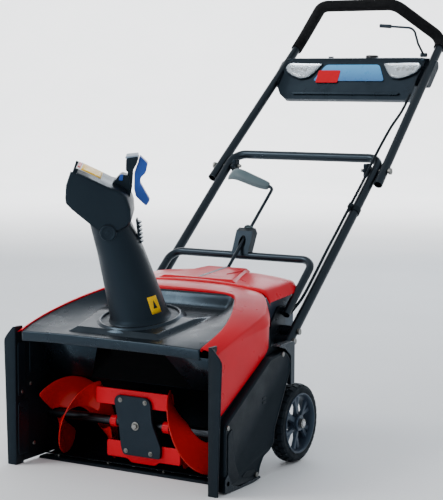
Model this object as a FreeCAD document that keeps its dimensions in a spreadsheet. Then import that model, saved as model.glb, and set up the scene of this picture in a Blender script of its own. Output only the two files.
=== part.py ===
import FreeCAD, Part
import math
import os

from FreeCAD import Placement, Rotation, Vector

# Single-stage battery snow blower with a 21 in clearing width.
# Frame: +Z up, +X to the machine's right as seen from the front, the intake mouth faces -Y.
# Origin: on the ground, in the middle of the scraper's lower face.

SIZES = {
    # housing and mouth
    "inner_half": 238.0, "plate_wall": 5.0, "shell_wall": 4.0, "mouth_front": -92.0,
    "flange_half": 268.0, "flange_height": 281.0, "lip_height": 267.0, "scroll_radius": 88.0,
    "scraper_depth": 30.0, "scraper_thick": 4.0,
    # rotor
    "rotor_back": 31.0, "rotor_height": 93.0, "shaft_radius": 10.0, "flight_radius": 84.0,
    "flight_thick": 3.0, "flight_turn": 234.0, "bracket_radius": 74.0, "paddle_thick": 8.0,
    "paddle_width": 94.0, "bolt_radius": 5.0,
    # deck and hood
    "deck_tilt": 10.0, "deck_start": 292.0, "hood_half": 249.0, "hood_wall": 3.0,
    # chute
    "chute_back": 27.0, "chute_height": 315.0, "chute_yaw": -60.0, "chute_radius": 60.0,
    "chute_length": 220.0, "chute_lean": 42.0, "chute_wall": 3.0, "ring_radius": 86.0,
    "deflector_half": 56.0, "pin_radius": 5.0, "run_gap": 0.05,
    "crown_teeth": 60.0, "pinion_teeth": 20.0, "crown_radius": 72.0,
    # rear body, drive and power
    "body_half": 170.0, "body_front": 172.0, "body_back": 384.0, "body_floor": 150.0,
    "body_top": 346.0, "motor_back": 182.0, "motor_height": 208.0, "motor_radius": 42.0,
    "cover_depth": 17.0, "cover_wall": 3.0,
    # wheels
    "wheel_back": 249.0, "wheel_radius": 85.0, "wheel_width": 38.0, "wheel_outer": 265.0,
    "rim_radius": 64.0, "axle_radius": 6.0,
    # handle
    "tube_radius": 11.0, "tube_wall": 2.0, "leg_half": 205.0, "upper_half": 229.5,
    "handle_slope": 39.3, "leg_start": 292.0, "leg_end": 763.0, "leg_line_back": 399.0,
    "leg_line_height": 332.0, "loop_half": 189.0, "loop_offset": 33.0, "loop_start": 335.0,
    "loop_end": 466.0, "loop_radius": 9.0, "upper_start": 692.0, "grip_half": 207.0,
    "grip_back": 1123.0, "grip_height": 925.0, "top_half": 106.0, "top_back": 1045.0,
    "top_height": 1014.0, "foam_thick": 4.0, "knob_bolt_back": 729.0, "top_bolt_back": 765.0,
    "handle_bolt_radius": 4.0,
    # control rod
    "rod_radius": 4.0, "rod_back": 384.0, "rod_height": 389.0, "rod_end": 595.0,
    "lever_turn": 72.0, "lever_length": 118.0,
}

doc = FreeCAD.newDocument("snow_blower")
sheet = doc.addObject("Spreadsheet::Sheet", "sizes")
for row, (name, number) in enumerate(SIZES.items(), start=1):
    sheet.set("A%d" % row, name)
    sheet.set("B%d" % row, str(number))
    sheet.setAlias("B%d" % row, name)
doc.recompute()


def size(name):
    return float(sheet.get(name))


X, Y, Z = Vector(1, 0, 0), Vector(0, 1, 0), Vector(0, 0, 1)
NODES = []


# ---------------------------------------------------------------- document helpers

def keep(obj, label, placement=None):
    """Name a finished sub-part and note it for export."""
    obj.Label = label
    if placement is not None:
        obj.Placement = placement
    NODES.append(obj)
    return obj


def feature(label, shape, placement=None):
    """A sub-part whose shape is made with Part's own functions."""
    obj = doc.addObject("Part::Feature", label)
    obj.Shape = shape
    return keep(obj, label, placement)


def group(label, shapes, placement=None):
    """Separate solids that share one node."""
    return feature(label, Part.makeCompound(shapes), placement)


def sheet_ref(name):
    return "<<sizes>>." + name


sheet.Label = "sizes"


# ---------------------------------------------------------------- shape helpers

def prism(points, low, high, along="x"):
    """A polygon of (a, b) points, extruded along one axis from low to high."""
    lift = {
        "x": lambda a, b: Vector(low, a, b),
        "y": lambda a, b: Vector(a, low, b),
        "z": lambda a, b: Vector(a, b, low),
    }[along]
    axis = {"x": X, "y": Y, "z": Z}[along]
    ring = [lift(a, b) for a, b in points]
    face = Part.Face(Part.makePolygon(ring + ring[:1]))
    return face.extrude(axis * (high - low))


def block(low, high):
    low, high = Vector(*low), Vector(*high)
    span = high - low
    return Part.makeBox(span.x, span.y, span.z, low)


def rod(start, end, radius):
    """A round bar from one point to another."""
    start, end = Vector(*start), Vector(*end)
    return Part.makeCylinder(radius, (end - start).Length, start, end - start)


def ring(start, end, outer, inner):
    return rod(start, end, outer).cut(rod(start, end, inner))


def section(points):
    ring_points = [Vector(*p) for p in points]
    return Part.makePolygon(ring_points + ring_points[:1])


def ruled(sections):
    """A solid through matching polygons, with straight sides between them."""
    return Part.makeLoft([section(points) for points in sections], True, True)


def rounded_path(points, bends):
    """A wire of straight runs joined by tangent arcs; one bend radius per inner point."""
    points = [Vector(*p) for p in points]
    edges, start = [], points[0]
    for before, corner, after, radius in zip(points, points[1:], points[2:], bends):
        back = (before - corner).normalize()
        ahead = (after - corner).normalize()
        half = back.getAngle(ahead) / 2
        reach = radius / math.tan(half)
        middle = corner + (back + ahead).normalize() * (radius / math.sin(half) - radius)
        first, last = corner + back * reach, corner + ahead * reach
        edges.append(Part.LineSegment(start, first).toShape())
        edges.append(Part.Arc(first, middle, last).toShape())
        start = last
    edges.append(Part.LineSegment(start, points[-1]).toShape())
    return Part.Wire(edges)


def swept(path, radius):
    start = path.Edges[0]
    direction = start.tangentAt(start.FirstParameter)
    disc = Part.Wire(Part.makeCircle(radius, start.valueAt(start.FirstParameter), direction))
    return path.makePipeShell([disc], True, True)


def tube(points, bends, radius, wall):
    path = rounded_path(points, bends)
    return swept(path, radius).cut(swept(path, radius - wall))


def mirrored(shape):
    return shape.mirror(Vector(0, 0, 0), X)


# ---------------------------------------------------------------- frame lines

SLOPE = math.radians(size("handle_slope"))
ALONG = Vector(0, math.cos(SLOPE), math.sin(SLOPE))
ABOVE = Vector(0, -math.sin(SLOPE), math.cos(SLOPE))


def handle_point(x, back, offset=0.0):
    """A point on the plane of the handle legs, at a distance back and an offset above it."""
    height = size("leg_line_height") + (back - size("leg_line_back")) * math.tan(SLOPE)
    return Vector(x, back, height) + ABOVE * offset


ROTOR = Vector(0, size("rotor_back"), size("rotor_height"))
TILT = math.radians(size("deck_tilt"))
CHUTE_TURN = Placement(Vector(0, 0, 0), Rotation(Z, size("chute_yaw")))
DECK = Placement(Vector(0, size("chute_back"), size("chute_height")), Rotation(X, size("deck_tilt")))
CHUTE = DECK * CHUTE_TURN
MOTOR = Vector(0, size("motor_back"), size("motor_height"))
MOTOR_SHAFT = 8.0
BAR_HALF, BAR_SKEW = 92.0, 14.0
DOOR_LOW, DOOR_HIGH = 47.0, 163.0


def scroll_outline(radius, lip_shift):
    """The housing's wall around the rotor: floor lip, round back and straight front slope."""
    angles = [-110 + 10 * step for step in range(17)]
    points = []
    for angle in angles:
        turn = math.radians(angle)
        points.append((ROTOR.y + radius * math.cos(turn), ROTOR.z + radius * math.sin(turn)))
    points.append((size("mouth_front") + 27 + lip_shift, size("lip_height") + lip_shift))
    return points


# ---------------------------------------------------------------- housing

def rotor_housing():
    wall = size("shell_wall")
    inner = scroll_outline(size("scroll_radius"), 0)
    outer = scroll_outline(size("scroll_radius") + wall, 0)
    outer[-1] = (inner[-1][0] + wall, inner[-1][1] + wall)
    half = size("inner_half")
    shell = prism(inner + outer[::-1], -half, half)
    floor_cut = block((-half - 1, -200, -50), (half + 1, size("scraper_depth") / 2 + 0.5, size("scraper_thick")))
    floor_cut = floor_cut.fuse([rod((x, 8, 0), (x, 8, 12), 3) for x in SCRAPER_BOLTS])
    hole = prism([(-64, 150), (64, 150), (52, 238), (-52, 238)], -20, 140, "y")
    # The short duct runs from the opening up to the chute ring, square to the deck.
    duct = ring((0, 0, -150), (0, 0, -4.5), size("chute_radius") + 2, size("chute_radius") - 1)
    duct.Placement = DECK
    mouth = prism(inner + [(-140, size("lip_height")), (-140, 0), (0, 0)], -300, 300)
    shape = shell.cut(floor_cut).cut(hole).fuse(duct.cut(mouth))
    return feature("rotor_housing", shape)


def side_plate(label, flip):
    half, wall, front = size("inner_half"), size("plate_wall"), size("mouth_front")
    plate = prism([
        (front + 4, 4), (front + 4, 272), (0, 291), (87, 306), (146, 308), (150, 262), (222, 262),
        (222, 186), (186, 170), (150, 116), (138, 86), (96, 46), (74, 4),
    ], half, half + wall)
    edge, low_edge, height = size("flange_half"), size("flange_half") - 8, size("flange_height")
    flare = ruled([
        [(half, front, 0), (low_edge, front, 0), (low_edge, front + 4, 0), (half + wall, front + 26, 0),
         (half, front + 26, 0)],
        [(half, front, height), (edge, front, height), (edge, front + 4, height),
         (half + wall, front + 26, height), (half, front + 26, height)],
    ])
    crown = ruled([
        [(half, front, height), (edge, front, height), (edge, front + 4, height),
         (half + wall, front + 26, height), (half, front + 26, height)],
        [(half, front, height + 20), (half + 8, front, height + 20), (half + 8, front + 4, height + 20),
         (half + wall, front + 10, height + 20), (half, front + 10, height + 20)],
    ])
    # The plate thickens outwards behind the belt cover and closes the rear corner.
    corner = block((half + wall, 150, 180), (half + 18, 222, 262)).cut(
        prism(belt_outline(-1), half + wall, half + 30))
    shaft_hole = rod((half - 10, ROTOR.y, ROTOR.z), (half + 30, ROTOR.y, ROTOR.z), 14)
    shape = plate.fuse([flare, crown, corner]).removeSplitter().cut(shaft_hole).cut(hood_strip())
    if flip:
        # On the left a moulded dome closes the rotor's bearing.
        dome = rod((half + wall - 1, ROTOR.y, ROTOR.z), (half + wall + 12, ROTOR.y, ROTOR.z), 30)
        hollow = rod((half - 10, ROTOR.y, ROTOR.z), (half + wall + 9, ROTOR.y, ROTOR.z), 14)
        shape = mirrored(shape.fuse(dome).cut(hollow))
    else:
        motor_hole = rod((half - 10, MOTOR.y, MOTOR.z), (half + 30, MOTOR.y, MOTOR.z), 14)
        shape = shape.cut(motor_hole)
    return feature(label, shape)


def scraper_blade():
    half, depth, thick = size("inner_half"), size("scraper_depth"), size("scraper_thick")
    blade = prism([(-depth / 2, 0), (depth / 2, 0), (depth / 2, thick), (-depth / 2 + 6, thick)], -half, half)
    return feature("scraper_blade", blade.cut([rod((x, 8, 0.9), (x, 8, 12), 3) for x in SCRAPER_BOLTS]))


def deck_line(back):
    """Height of the deck's upper face at a distance back."""
    return size("deck_start") + (back - size("mouth_front")) * math.tan(TILT)


def front_deck():
    half, front, wall = size("inner_half"), size("mouth_front"), size("shell_wall")
    lip = size("lip_height") + wall + 1
    rear = 158.0
    plate = prism([
        (front, deck_line(front)), (rear, deck_line(rear)), (rear + 14, deck_line(rear) + 22),
        (rear + 14 + wall, deck_line(rear) + 20), (rear + wall, deck_line(rear) - wall),
        (front + wall, deck_line(front) - wall), (front + wall, lip), (front, lip),
    ], -half, half)
    corner_cut = prism([(180, 120), (250, 60), (250, 220), (120, 220)], 250, 420, "z")
    name_plate = ruled([
        [(-96, front - 1.5, lip + 4), (96, front - 1.5, lip + 4), (96, front + 1, lip + 4),
         (-96, front + 1, lip + 4)],
        [(-78, front - 1.5, lip + 17), (78, front - 1.5, lip + 17), (78, front + 1, lip + 17),
         (-78, front + 1, lip + 17)],
    ])
    shape = plate.fuse(name_plate)
    bore = size("crown_radius") + 6.5
    opening = Part.makeCylinder(bore, 40, Vector(0, 0, -20))
    slot = block((-27, 50, -30), (27, 81.9, 2.2))
    tools = opening.fuse(slot)
    tools.Placement = DECK
    shape = shape.cut(corner_cut).cut(mirrored(corner_cut))
    # The hood's side strips lie over the deck's edges, so the deck stops under them.
    over = ruled([[(ox + 5, y, oz + 60), (ix, y, iz + 60), (ix, y, iz - size("hood_wall") - 0.3),
                   (ox + 5, y, oz - size("hood_wall") - 4)] for y, ox, oz, ix, iz in hood_sections()])
    shape = shape.cut(over).cut(mirrored(over))
    outer = size("ring_radius")
    seat = ring((0, 0, 0), (0, 0, 9), outer, outer - 4).fuse(
        ring((0, 0, -2), (0, 0, 2), outer, bore))
    seat.Placement = DECK
    return feature("front_deck", shape.fuse(seat).cut(tools))


# ---------------------------------------------------------------- hood, lid and rear body

def hood_sections():
    """Stations back along the right-hand top strip: outer x, outer z, inner x, inner z."""
    half = size("hood_half")
    return [(-80, half, 286, half - 29, 296), (0, half, 303, half - 33, 319),
            (87, half - 3, 322, half - 60, 346), (150, half - 15, 337, half - 92, 364),
            (200, half - 44, 352, half - 110, 370), (236, half - 76, 362, half - 130, 374)]


def hood_strip():
    wall = size("hood_wall")
    return ruled([
        [(ox, y, oz), (ix, y, iz), (ix, y, iz - wall), (ox, y, oz - wall - 1)]
        for y, ox, oz, ix, iz in hood_sections()])


def hood_shroud():
    wall, half = size("hood_wall"), size("hood_half")
    strip = hood_strip()
    side = prism([
        (-64, 288), (0, 302), (87, 321), (150, 336), (150, 264), (134, 254), (-62, 148), (-64, 148),
    ], half - wall - 3, half - 3)
    rear = prism([(150, 364), (236, 374), (236, 370), (150, 360)], -(half - 92), half - 92)
    shape = strip.fuse([side, mirrored(strip), mirrored(side), rear]).removeSplitter()
    return feature("hood_shroud", shape)


def lid_section(back, width, low, middle, top, inset):
    """One station of the lid's outer or inner skin."""
    side, shoulder, crown = width - inset, width * 0.93 - inset, width * 0.45
    low_z, mid_z, top_z = low, middle - inset, top - inset
    return [(-side, back, low_z), (-shoulder, back, mid_z), (-crown, back, top_z),
            (crown, back, top_z), (shoulder, back, mid_z), (side, back, low_z)]


def hood_lid():
    wall = size("hood_wall")
    back = size("body_back")
    outer = ruled([lid_section(237, 178, 350, 362, 374, 0), lid_section(330, 184, 350, 366, 385, 0),
                   lid_section(back + 4, 176, 350, 362, 389, 0)])
    inner = ruled([lid_section(230, 178, 340, 362, 373, wall), lid_section(330, 184, 340, 366, 385, wall),
                   lid_section(back + 1, 176, 340, 362, 389, wall)])
    bump = ruled([
        [(-44, 290, 380), (44, 290, 380), (56, back + 3, 387), (-56, back + 3, 387)],
        [(-30, 300, 392), (30, 300, 392), (40, back + 3, 398), (-40, back + 3, 398)],
    ])
    bump_inner = ruled([
        [(-41, 293, 370), (41, 293, 370), (53, back, 377), (-53, back, 377)],
        [(-27, 303, 389), (27, 303, 389), (37, back, 395), (-37, back, 395)],
    ])
    start = Vector(0, size("rod_back"), size("rod_height"))
    passage = rod(start - ALONG * 60, start + ALONG * 60, size("rod_radius") + 4)
    shape = outer.fuse(bump).cut(inner).cut(bump_inner).cut(passage)
    return feature("hood_lid", shape)


def rear_body():
    half, front, back = size("body_half"), size("body_front"), size("body_back")
    floor, top, wall = size("body_floor"), size("body_top"), size("shell_wall")
    outer = block((-half, front + 30, floor), (half, back, top))
    inner = block((-half + wall, front + 30 + wall, floor + wall), (half - wall, back - wall, top + 10))
    door = block((-84, back - 20, floor + DOOR_LOW - 2), (84, back + 20, floor + DOOR_HIGH + 2))
    passage = block((-18, front, 300), (18, front + 60, 360))
    shape = outer.cut(inner).cut(door).cut(passage)
    for x in (-60, 60):
        pin_z = floor + DOOR_HIGH + 7
        pin = rod((x - 20, back + 5, pin_z), (x + 20, back + 5, pin_z), 2.5)
        ears = [block((x + s * 16 - 3.5, back - 1, pin_z - 4), (x + s * 16 + 3.5, back + 8, pin_z + 4))
                for s in (-1, 1)]
        shape = shape.fuse([pin] + ears)
    return feature("rear_body", shape.removeSplitter())


def chassis_pan():
    """The plate that joins the scroll, the side plates and the rear body, and carries the motor."""
    half = size("inner_half")
    plate = prism([(120, 136), (206, 150), (206, 146), (122, 132)], -half, half)
    wheel_cut = block((size("body_half") + 8, 140, 100), (half + 20, 260, 200))
    return feature("chassis_pan", plate.cut(wheel_cut).cut(mirrored(wheel_cut)))


def belt_outline(shrink):
    """The belt cover's outline: a narrow foot round the rotor, a rounded head round the motor."""
    s = shrink
    head, foot = Vector(size("motor_back") - 10, size("motor_height") + 12, 0), ROTOR
    points = [(-64 + s, 4 + s), (-64 + s, 143)]
    for angle in (125, 100, 75, 50, 25, 0, -20):
        turn = math.radians(angle)
        points.append((head.x + (40 - s) * math.cos(turn), head.y + (38 - s) * math.sin(turn)))
    points += [(136 - s, 86), (92 - s, 46 + s), (80 - s, 22), (70 - s, 4 + s)]
    return points


def belt_cover():
    low = size("inner_half") + size("plate_wall") + 0.5
    depth, wall = size("cover_depth"), size("cover_wall")
    outer = prism(belt_outline(0), low, low + depth)
    inner = prism(belt_outline(wall), low - 1, low + depth - wall)
    louvres = [block((low + depth - wall - 1, 100, z), (low + depth + 1, 128, z + 4)) for z in (196, 206)]
    return feature("belt_cover", outer.cut(inner).cut(louvres[0]).cut(louvres[1]))


def housing_screws():
    """The screws of the belt cover and the bolts that hold the scraper to the housing's floor lip."""
    low = size("inner_half") + size("plate_wall") + size("cover_depth") + 0.5
    places = [(-54, 20), (-54, 132), (170, 246), (62, 14)]
    screws = [Part.makeCylinder(5, 2.5, Vector(low, y, z), X) for y, z in places]
    thick = size("scraper_thick")
    for x in SCRAPER_BOLTS:
        screws.append(rod((x, 8, 1), (x, 8, thick + 5), 3))
    return group("housing_screws", screws)


# ---------------------------------------------------------------- rotor

def flight(side, start_angle):
    """One helical blade that winds outwards from the end of its bracket bar to the side plate."""
    inner, outer, thick = size("shaft_radius") - 0.1, size("flight_radius"), size("flight_thick")
    skewed_out = (start_angle == 90) == (side < 0)
    first = BAR_HALF + (BAR_SKEW if skewed_out else -BAR_SKEW) + 0.5
    last, steps = size("inner_half") - 12, 24
    stations = []
    for step in range(steps + 1):
        share = step / steps
        x = side * (first + (last - first) * share)
        turn = math.radians(start_angle + size("flight_turn") * share)
        out = Vector(0, math.cos(turn), math.sin(turn))
        ends = [(-thick / 2, inner), (thick / 2, inner), (thick / 2, outer), (-thick / 2, outer)]
        stations.append([tuple(ROTOR + X * (x + dx) + out * radius) for dx, radius in ends])
    core = rod((-300, ROTOR.y, ROTOR.z), (300, ROTOR.y, ROTOR.z), size("shaft_radius"))
    return ruled(stations).cut(core)


def rotor_flights(label, side):
    return group(label, [flight(side, 90), flight(side, 270)])


def bracket_bar(sign):
    """One red bracket: a bar ahead of the shaft with legs back to it, skewed along the helix."""
    reach = size("bracket_radius")
    front, rear = ROTOR.y - 16, ROTOR.y - 12
    skew = -BAR_SKEW * sign
    low, high = (36, reach) if sign > 0 else (-reach, -36)
    bar = prism([(-BAR_HALF + skew, ROTOR.z + low), (BAR_HALF + skew, ROTOR.z + low),
                 (BAR_HALF + skew, ROTOR.z + high), (-BAR_HALF + skew, ROTOR.z + high)], front, rear, "y")
    return bar


def rotor_brackets():
    front, rear = ROTOR.y - 16, ROTOR.y - 12
    legs = [prism([(x - 10, ROTOR.z - 40), (x + 10, ROTOR.z - 40), (x + 10, ROTOR.z + 40),
                   (x - 10, ROTOR.z + 40)], front, rear, "y") for x in (-66, 66)]
    frame = bracket_bar(1).fuse([bracket_bar(-1)] + legs).removeSplitter()
    clamps = [block((x - 10, rear, ROTOR.z - 12), (x + 10, ROTOR.y, ROTOR.z + 12)) for x in (-66, 66)]
    core = rod((-100, ROTOR.y, ROTOR.z), (100, ROTOR.y, ROTOR.z), size("shaft_radius"))
    return feature("rotor_bracket", frame.fuse(clamps).removeSplitter().cut(core))


PADDLE_BOLTS = [(-38, 52), (24, 52), (-24, -55), (38, -55)]


def rotor_paddle():
    front, thick, half = ROTOR.y - 16, size("paddle_thick"), size("paddle_width") / 2
    outline = [(-half - 8, 50), (-half, 62), (half - 20, 62), (half - 10, 52), (half - 6, 10),
               (half + 16, -40), (half + 14, -64), (-half + 16, -64), (-half + 10, -50), (-half + 4, 0)]
    plate = prism([(x, ROTOR.z + dz) for x, dz in outline], front - thick, front, "y")
    for x, dz in PADDLE_BOLTS + [(0, 0)]:
        plate = plate.cut(rod((x, front - thick - 1, ROTOR.z + dz), (x, front + 1, ROTOR.z + dz), 3))
    return feature("rotor_paddle", plate)


def paddle_bolts():
    front, thick = ROTOR.y - 16, size("paddle_thick")
    bolts = []
    for x, dz in PADDLE_BOLTS + [(0, 0)]:
        head = 5.0 if dz else 8.0
        z = ROTOR.z + dz
        end = front if dz else ROTOR.y - size("shaft_radius")
        bolts.append(rod((x, front - thick, z), (x, end, z), 2.9).fuse(
            rod((x, front - thick - 4, z), (x, front - thick, z), head)))
    return group("paddle_bolts", bolts)


def rotor_shaft():
    length = 2 * size("inner_half") + 24
    obj = doc.addObject("Part::Cylinder", "rotor_shaft")
    obj.setExpression("Radius", sheet_ref("shaft_radius"))
    obj.setExpression("Height", "2 * %s + 24 mm / 1 mm" % sheet_ref("inner_half"))
    start = Vector(-length / 2 + 4, ROTOR.y, ROTOR.z)
    return keep(obj, "rotor_shaft", Placement(start, Rotation(Z, X)))


def bearings():
    half, wall = size("inner_half"), size("plate_wall")
    radius = size("shaft_radius") + size("run_gap")
    races = [ring((side * half, ROTOR.y, ROTOR.z), (side * (half + wall), ROTOR.y, ROTOR.z), 14, radius)
             for side in (-1, 1)]
    races.append(ring((half, MOTOR.y, MOTOR.z), (half + wall, MOTOR.y, MOTOR.z), 14,
                      MOTOR_SHAFT + size("run_gap")))
    return group("shaft_bearings", races)


def pulley(centre, outer, bore, width):
    """A belt pulley with a groove, on the right-hand side."""
    low = size("inner_half") + size("plate_wall") + 2
    body = ring((low, centre.y, centre.z), (low + width, centre.y, centre.z), outer, bore)
    groove = ring((low + 2, centre.y, centre.z), (low + width - 2, centre.y, centre.z), outer + 1, outer - 3)
    return body.cut(groove)


def drive_belt():
    """The belt's loop round both pulleys, clear of their grooves."""
    low = size("inner_half") + size("plate_wall") + 4.5
    gap = 0.4
    inner_big, inner_small = 42 - 3 + gap, 16 - 3 + gap

    def loop(extra, start, end):
        discs = [rod((start, ROTOR.y, ROTOR.z), (end, ROTOR.y, ROTOR.z), inner_big + extra),
                 rod((start, MOTOR.y, MOTOR.z), (end, MOTOR.y, MOTOR.z), inner_small + extra)]
        span = MOTOR - ROTOR
        distance = span.Length
        lean = math.asin((inner_big - inner_small) / distance)
        heading = math.atan2(span.z, span.y)
        corners = []
        for sign in (1, -1):
            angle = heading + sign * (math.pi / 2 - lean)
            out = Vector(0, math.cos(angle), math.sin(angle))
            corners.append([ROTOR + out * (inner_big + extra), MOTOR + out * (inner_small + extra)])
        quad = [corners[0][0], corners[0][1], corners[1][1], corners[1][0]]
        web = prism([(p.y, p.z) for p in quad], start, end)
        return discs[0].fuse([discs[1], web]).removeSplitter()

    return feature("drive_belt", loop(2.4, low, low + 5).cut(loop(0, low - 1, low + 6)))


# ---------------------------------------------------------------- motor, electronics and battery

def motor():
    half = size("inner_half")
    can = rod((half - 62, MOTOR.y, MOTOR.z), (half - 6, MOTOR.y, MOTOR.z), size("motor_radius"))
    flange = block((half - 6, MOTOR.y - 44, MOTOR.z - 40), (half - 0.5, MOTOR.y + 32, MOTOR.z + 40))
    bore = rod((half - 54, MOTOR.y, MOTOR.z), (half, MOTOR.y, MOTOR.z), MOTOR_SHAFT + 1)
    feature("motor_housing", can.fuse(flange).cut(bore))
    shaft = rod((half - 50, MOTOR.y, MOTOR.z), (half + 17, MOTOR.y, MOTOR.z), MOTOR_SHAFT)
    feature("motor_shaft", shaft.fuse(pulley(MOTOR, 16, MOTOR_SHAFT, 10)).removeSplitter())


def power_unit():
    """The battery dock with its contacts, the pack that slides out of it, and the motor controller."""
    floor, back, wall = size("body_floor"), size("body_back"), size("shell_wall")
    low, high = floor + 50, floor + 160
    tray = block((-82, 207, low - 6), (82, back - wall - 1, low - 0.5))
    contacts = block((-60, 206.5, low - 6), (60, 222, high - 20))
    feature("battery_dock", tray.fuse(contacts).removeSplitter())
    pack = block((-72, 223, low), (72, back - 14, high - 8))
    pack = pack.makeFillet(8, [e for e in pack.Edges if abs(e.tangentAt(e.FirstParameter).y) > 0.9])
    pack_grip = ring((0, back - 14, 250), (0, back - 7, 250), 24, 14)
    feature("battery_pack", pack.fuse(pack_grip))
    case = block((-160, 215, floor + wall), (-90, 330, floor + wall + 70))
    fins = [block((-156, 222 + 14 * k, floor + wall + 69), (-94, 228 + 14 * k, floor + wall + 82))
            for k in range(7)]
    feature("controller_box", case.fuse(fins))


def battery_door():
    floor, back = size("body_floor"), size("body_back")
    low, high = floor + DOOR_LOW, floor + DOOR_HIGH
    panel = block((-82, back - 3, low), (82, back + 1, high))
    pin_z = high + 7
    knuckles = [ring((x - 12, back + 5, pin_z), (x + 12, back + 5, pin_z), 5, 2.5 + size("run_gap"))
                for x in (-60, 60)]
    arms = [block((x - 12, back + 1, high - 8), (x + 12, back + 4.5, pin_z - 3)) for x in (-60, 60)]
    shape = panel.fuse(knuckles + arms)
    bore = [rod((x - 13, back + 5, pin_z), (x + 13, back + 5, pin_z), 2.5 + size("run_gap")) for x in (-60, 60)]
    latch_hole = rod((0, back - 10, low + 16), (0, back + 10, low + 16), 3 + size("run_gap"))
    feature("battery_door", shape.cut(bore[0]).cut(bore[1]).cut(latch_hole))
    knob = rod((0, back + 1.3, low + 16), (0, back + 7, low + 16), 12)
    blade = block((-4, back + 7, low + 6), (4, back + 13, low + 26))
    feature("door_latch", knob.fuse(blade).fuse(rod((0, back + 1.3, low + 16), (0, back - 2, low + 16), 3)))


# ---------------------------------------------------------------- wheels

def axle():
    obj = doc.addObject("Part::Cylinder", "wheel_axle")
    obj.setExpression("Radius", sheet_ref("axle_radius"))
    obj.setExpression("Height", "2 * %s + 12 mm / 1 mm" % sheet_ref("wheel_outer"))
    start = Vector(-size("wheel_outer") - 6, size("wheel_back"), size("wheel_radius"))
    keep(obj, "wheel_axle", Placement(start, Rotation(Z, X)))
    half, back, height = size("body_half"), size("wheel_back"), size("wheel_radius")
    outer = size("wheel_outer")
    group("push_nuts", [ring((side * (outer + 0.4), back, height), (side * (outer + 5), back, height), 10,
                             size("axle_radius")) for side in (-1, 1)])
    floor = size("body_floor")
    plates = []
    for side in (-1, 1):
        plate = prism([(back - 20, floor + 40), (back + 60, floor + 40), (back + 60, floor),
                       (back + 16, height - 14), (back - 16, height - 14), (back - 20, floor)],
                      half, half + 4)
        plate = plate.cut(rod((half - 5, back, height), (half + 9, back, height), size("axle_radius")))
        plates.append(plate if side > 0 else mirrored(plate))
    group("axle_brackets", plates)


def wheel(name, side):
    back, height, radius = size("wheel_back"), size("wheel_radius"), size("wheel_radius")
    outer, width, rim = size("wheel_outer"), size("wheel_width"), size("rim_radius")
    inner_face = outer - width
    bore = size("axle_radius") + size("run_gap")

    def place(shape):
        return shape if side > 0 else mirrored(shape)

    tyre = ring((inner_face, back, height), (outer - 2, back, height), radius, rim)
    sharp = [e for e in tyre.Edges if abs(e.Length - 2 * math.pi * radius) < 1]
    tyre = tyre.makeFillet(6, sharp)
    grooves = []
    for k in range(24):
        turn = Rotation(X, 15.0 * k)
        lug = block((inner_face - 1, -3, radius - 4), (inner_face + 13, 3, radius + 4))
        lug2 = block((outer - 15, -3, radius - 4), (outer, 3, radius + 4))
        lug2.Placement = Placement(Vector(0, 0, 0), Rotation(X, 7.5))
        both = lug.fuse(lug2)
        both.Placement = Placement(Vector(0, back, height), turn)
        grooves.append(both)
    feature("tyre_" + name, place(tyre.cut(grooves)))
    hoop = ring((inner_face + 4, back, height), (outer - 4, back, height), rim, rim - 5)
    disc = ring((outer - 16, back, height), (outer - 11, back, height), rim - 4, 16)
    windows = []
    for k in range(6):
        turn = Rotation(X, 60.0 * k + 10)
        window = prism([(-9, 26), (9, 26), (17, 54), (-17, 54)], outer - 20, outer)
        window.Placement = Placement(Vector(0, back, height), turn)
        windows.append(window)
    hub = ring((inner_face - 4, back, height), (outer - 2, back, height), 17, bore)
    shape = hoop.fuse([disc, hub]).cut(windows).removeSplitter()
    feature("rim_" + name, place(shape))


# ---------------------------------------------------------------- chute

PIVOT = (-size("chute_lean"), size("chute_length"))
TOOTH_PHASE = 30.0
TRIGGER_PIN = (-63.0, 79.0)
DRIVE_END = 290.0
MOUNT_BACKS = [300.0, 322.0]
FOAM_START = 1096.0
GRIP_BENDS = [30, 45, 45, 30]
START_X, LIGHT_X, BUTTON_BACK = 36.0, -84.0, 1059.0
SCRAPER_BOLTS = (-200, -70, 70, 200)
ROD_START = 345.0


def chute_point(ahead, up):
    """A point of the deflector's profile: (y, z) in the chute's own frame."""
    return (PIVOT[0] - ahead, PIVOT[1] + up)


def chute_skin(inset):
    radius, lean, length = size("chute_radius") - inset, size("chute_lean"), size("chute_length")
    stations = [(radius, radius, 0.0, 6.0), (radius - 3, radius - 5, -lean * 0.28, length * 0.35),
                (radius - 7, radius - 12, -lean * 0.62, length * 0.7),
                (radius - 10, radius - 19, -lean, length)]
    wires = []
    for half_width, half_depth, back, height in stations:
        curve = Part.Ellipse(Vector(0, back, height), half_width, min(half_depth, half_width - 0.01))
        wires.append(Part.Wire(curve.toShape()))
    return Part.makeLoft(wires, True, False)


def chute_tube():
    """The leaning tube, with the deflector's two hinge pins moulded on its sides."""
    shape = chute_skin(0)
    y, z = chute_point(0, 0)
    half, pin = size("deflector_half"), size("pin_radius")
    pins = [rod((side * 40, y, z - 14), (side * (half - 4.5), y, z - 14), 13) for side in (-1, 1)]
    pins += [rod((side * 40, y, z - 14), (side * (half + 2), y, z - 14), pin) for side in (-1, 1)]
    rack = block((-8, y + 54, z - 56), (8, y + 62, z - 4))
    teeth = [prism([(y + 62, z - 56 + 8 * k), (y + 67, z - 52 + 8 * k), (y + 62, z - 48 + 8 * k)], -8, 8)
             for k in range(6)]
    web = block((-5, y + 34, z - 56), (5, y + 54, z - 34))
    shape = shape.fuse(pins + [rack, web] + teeth).cut(chute_skin(size("chute_wall")))
    caps = [rod((side * (half + 0.4), y, z - 14), (side * (half + 4), y, z - 14), 17) for side in (-1, 1)]
    return feature("chute_tube", shape.fuse(caps), CHUTE)


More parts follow.
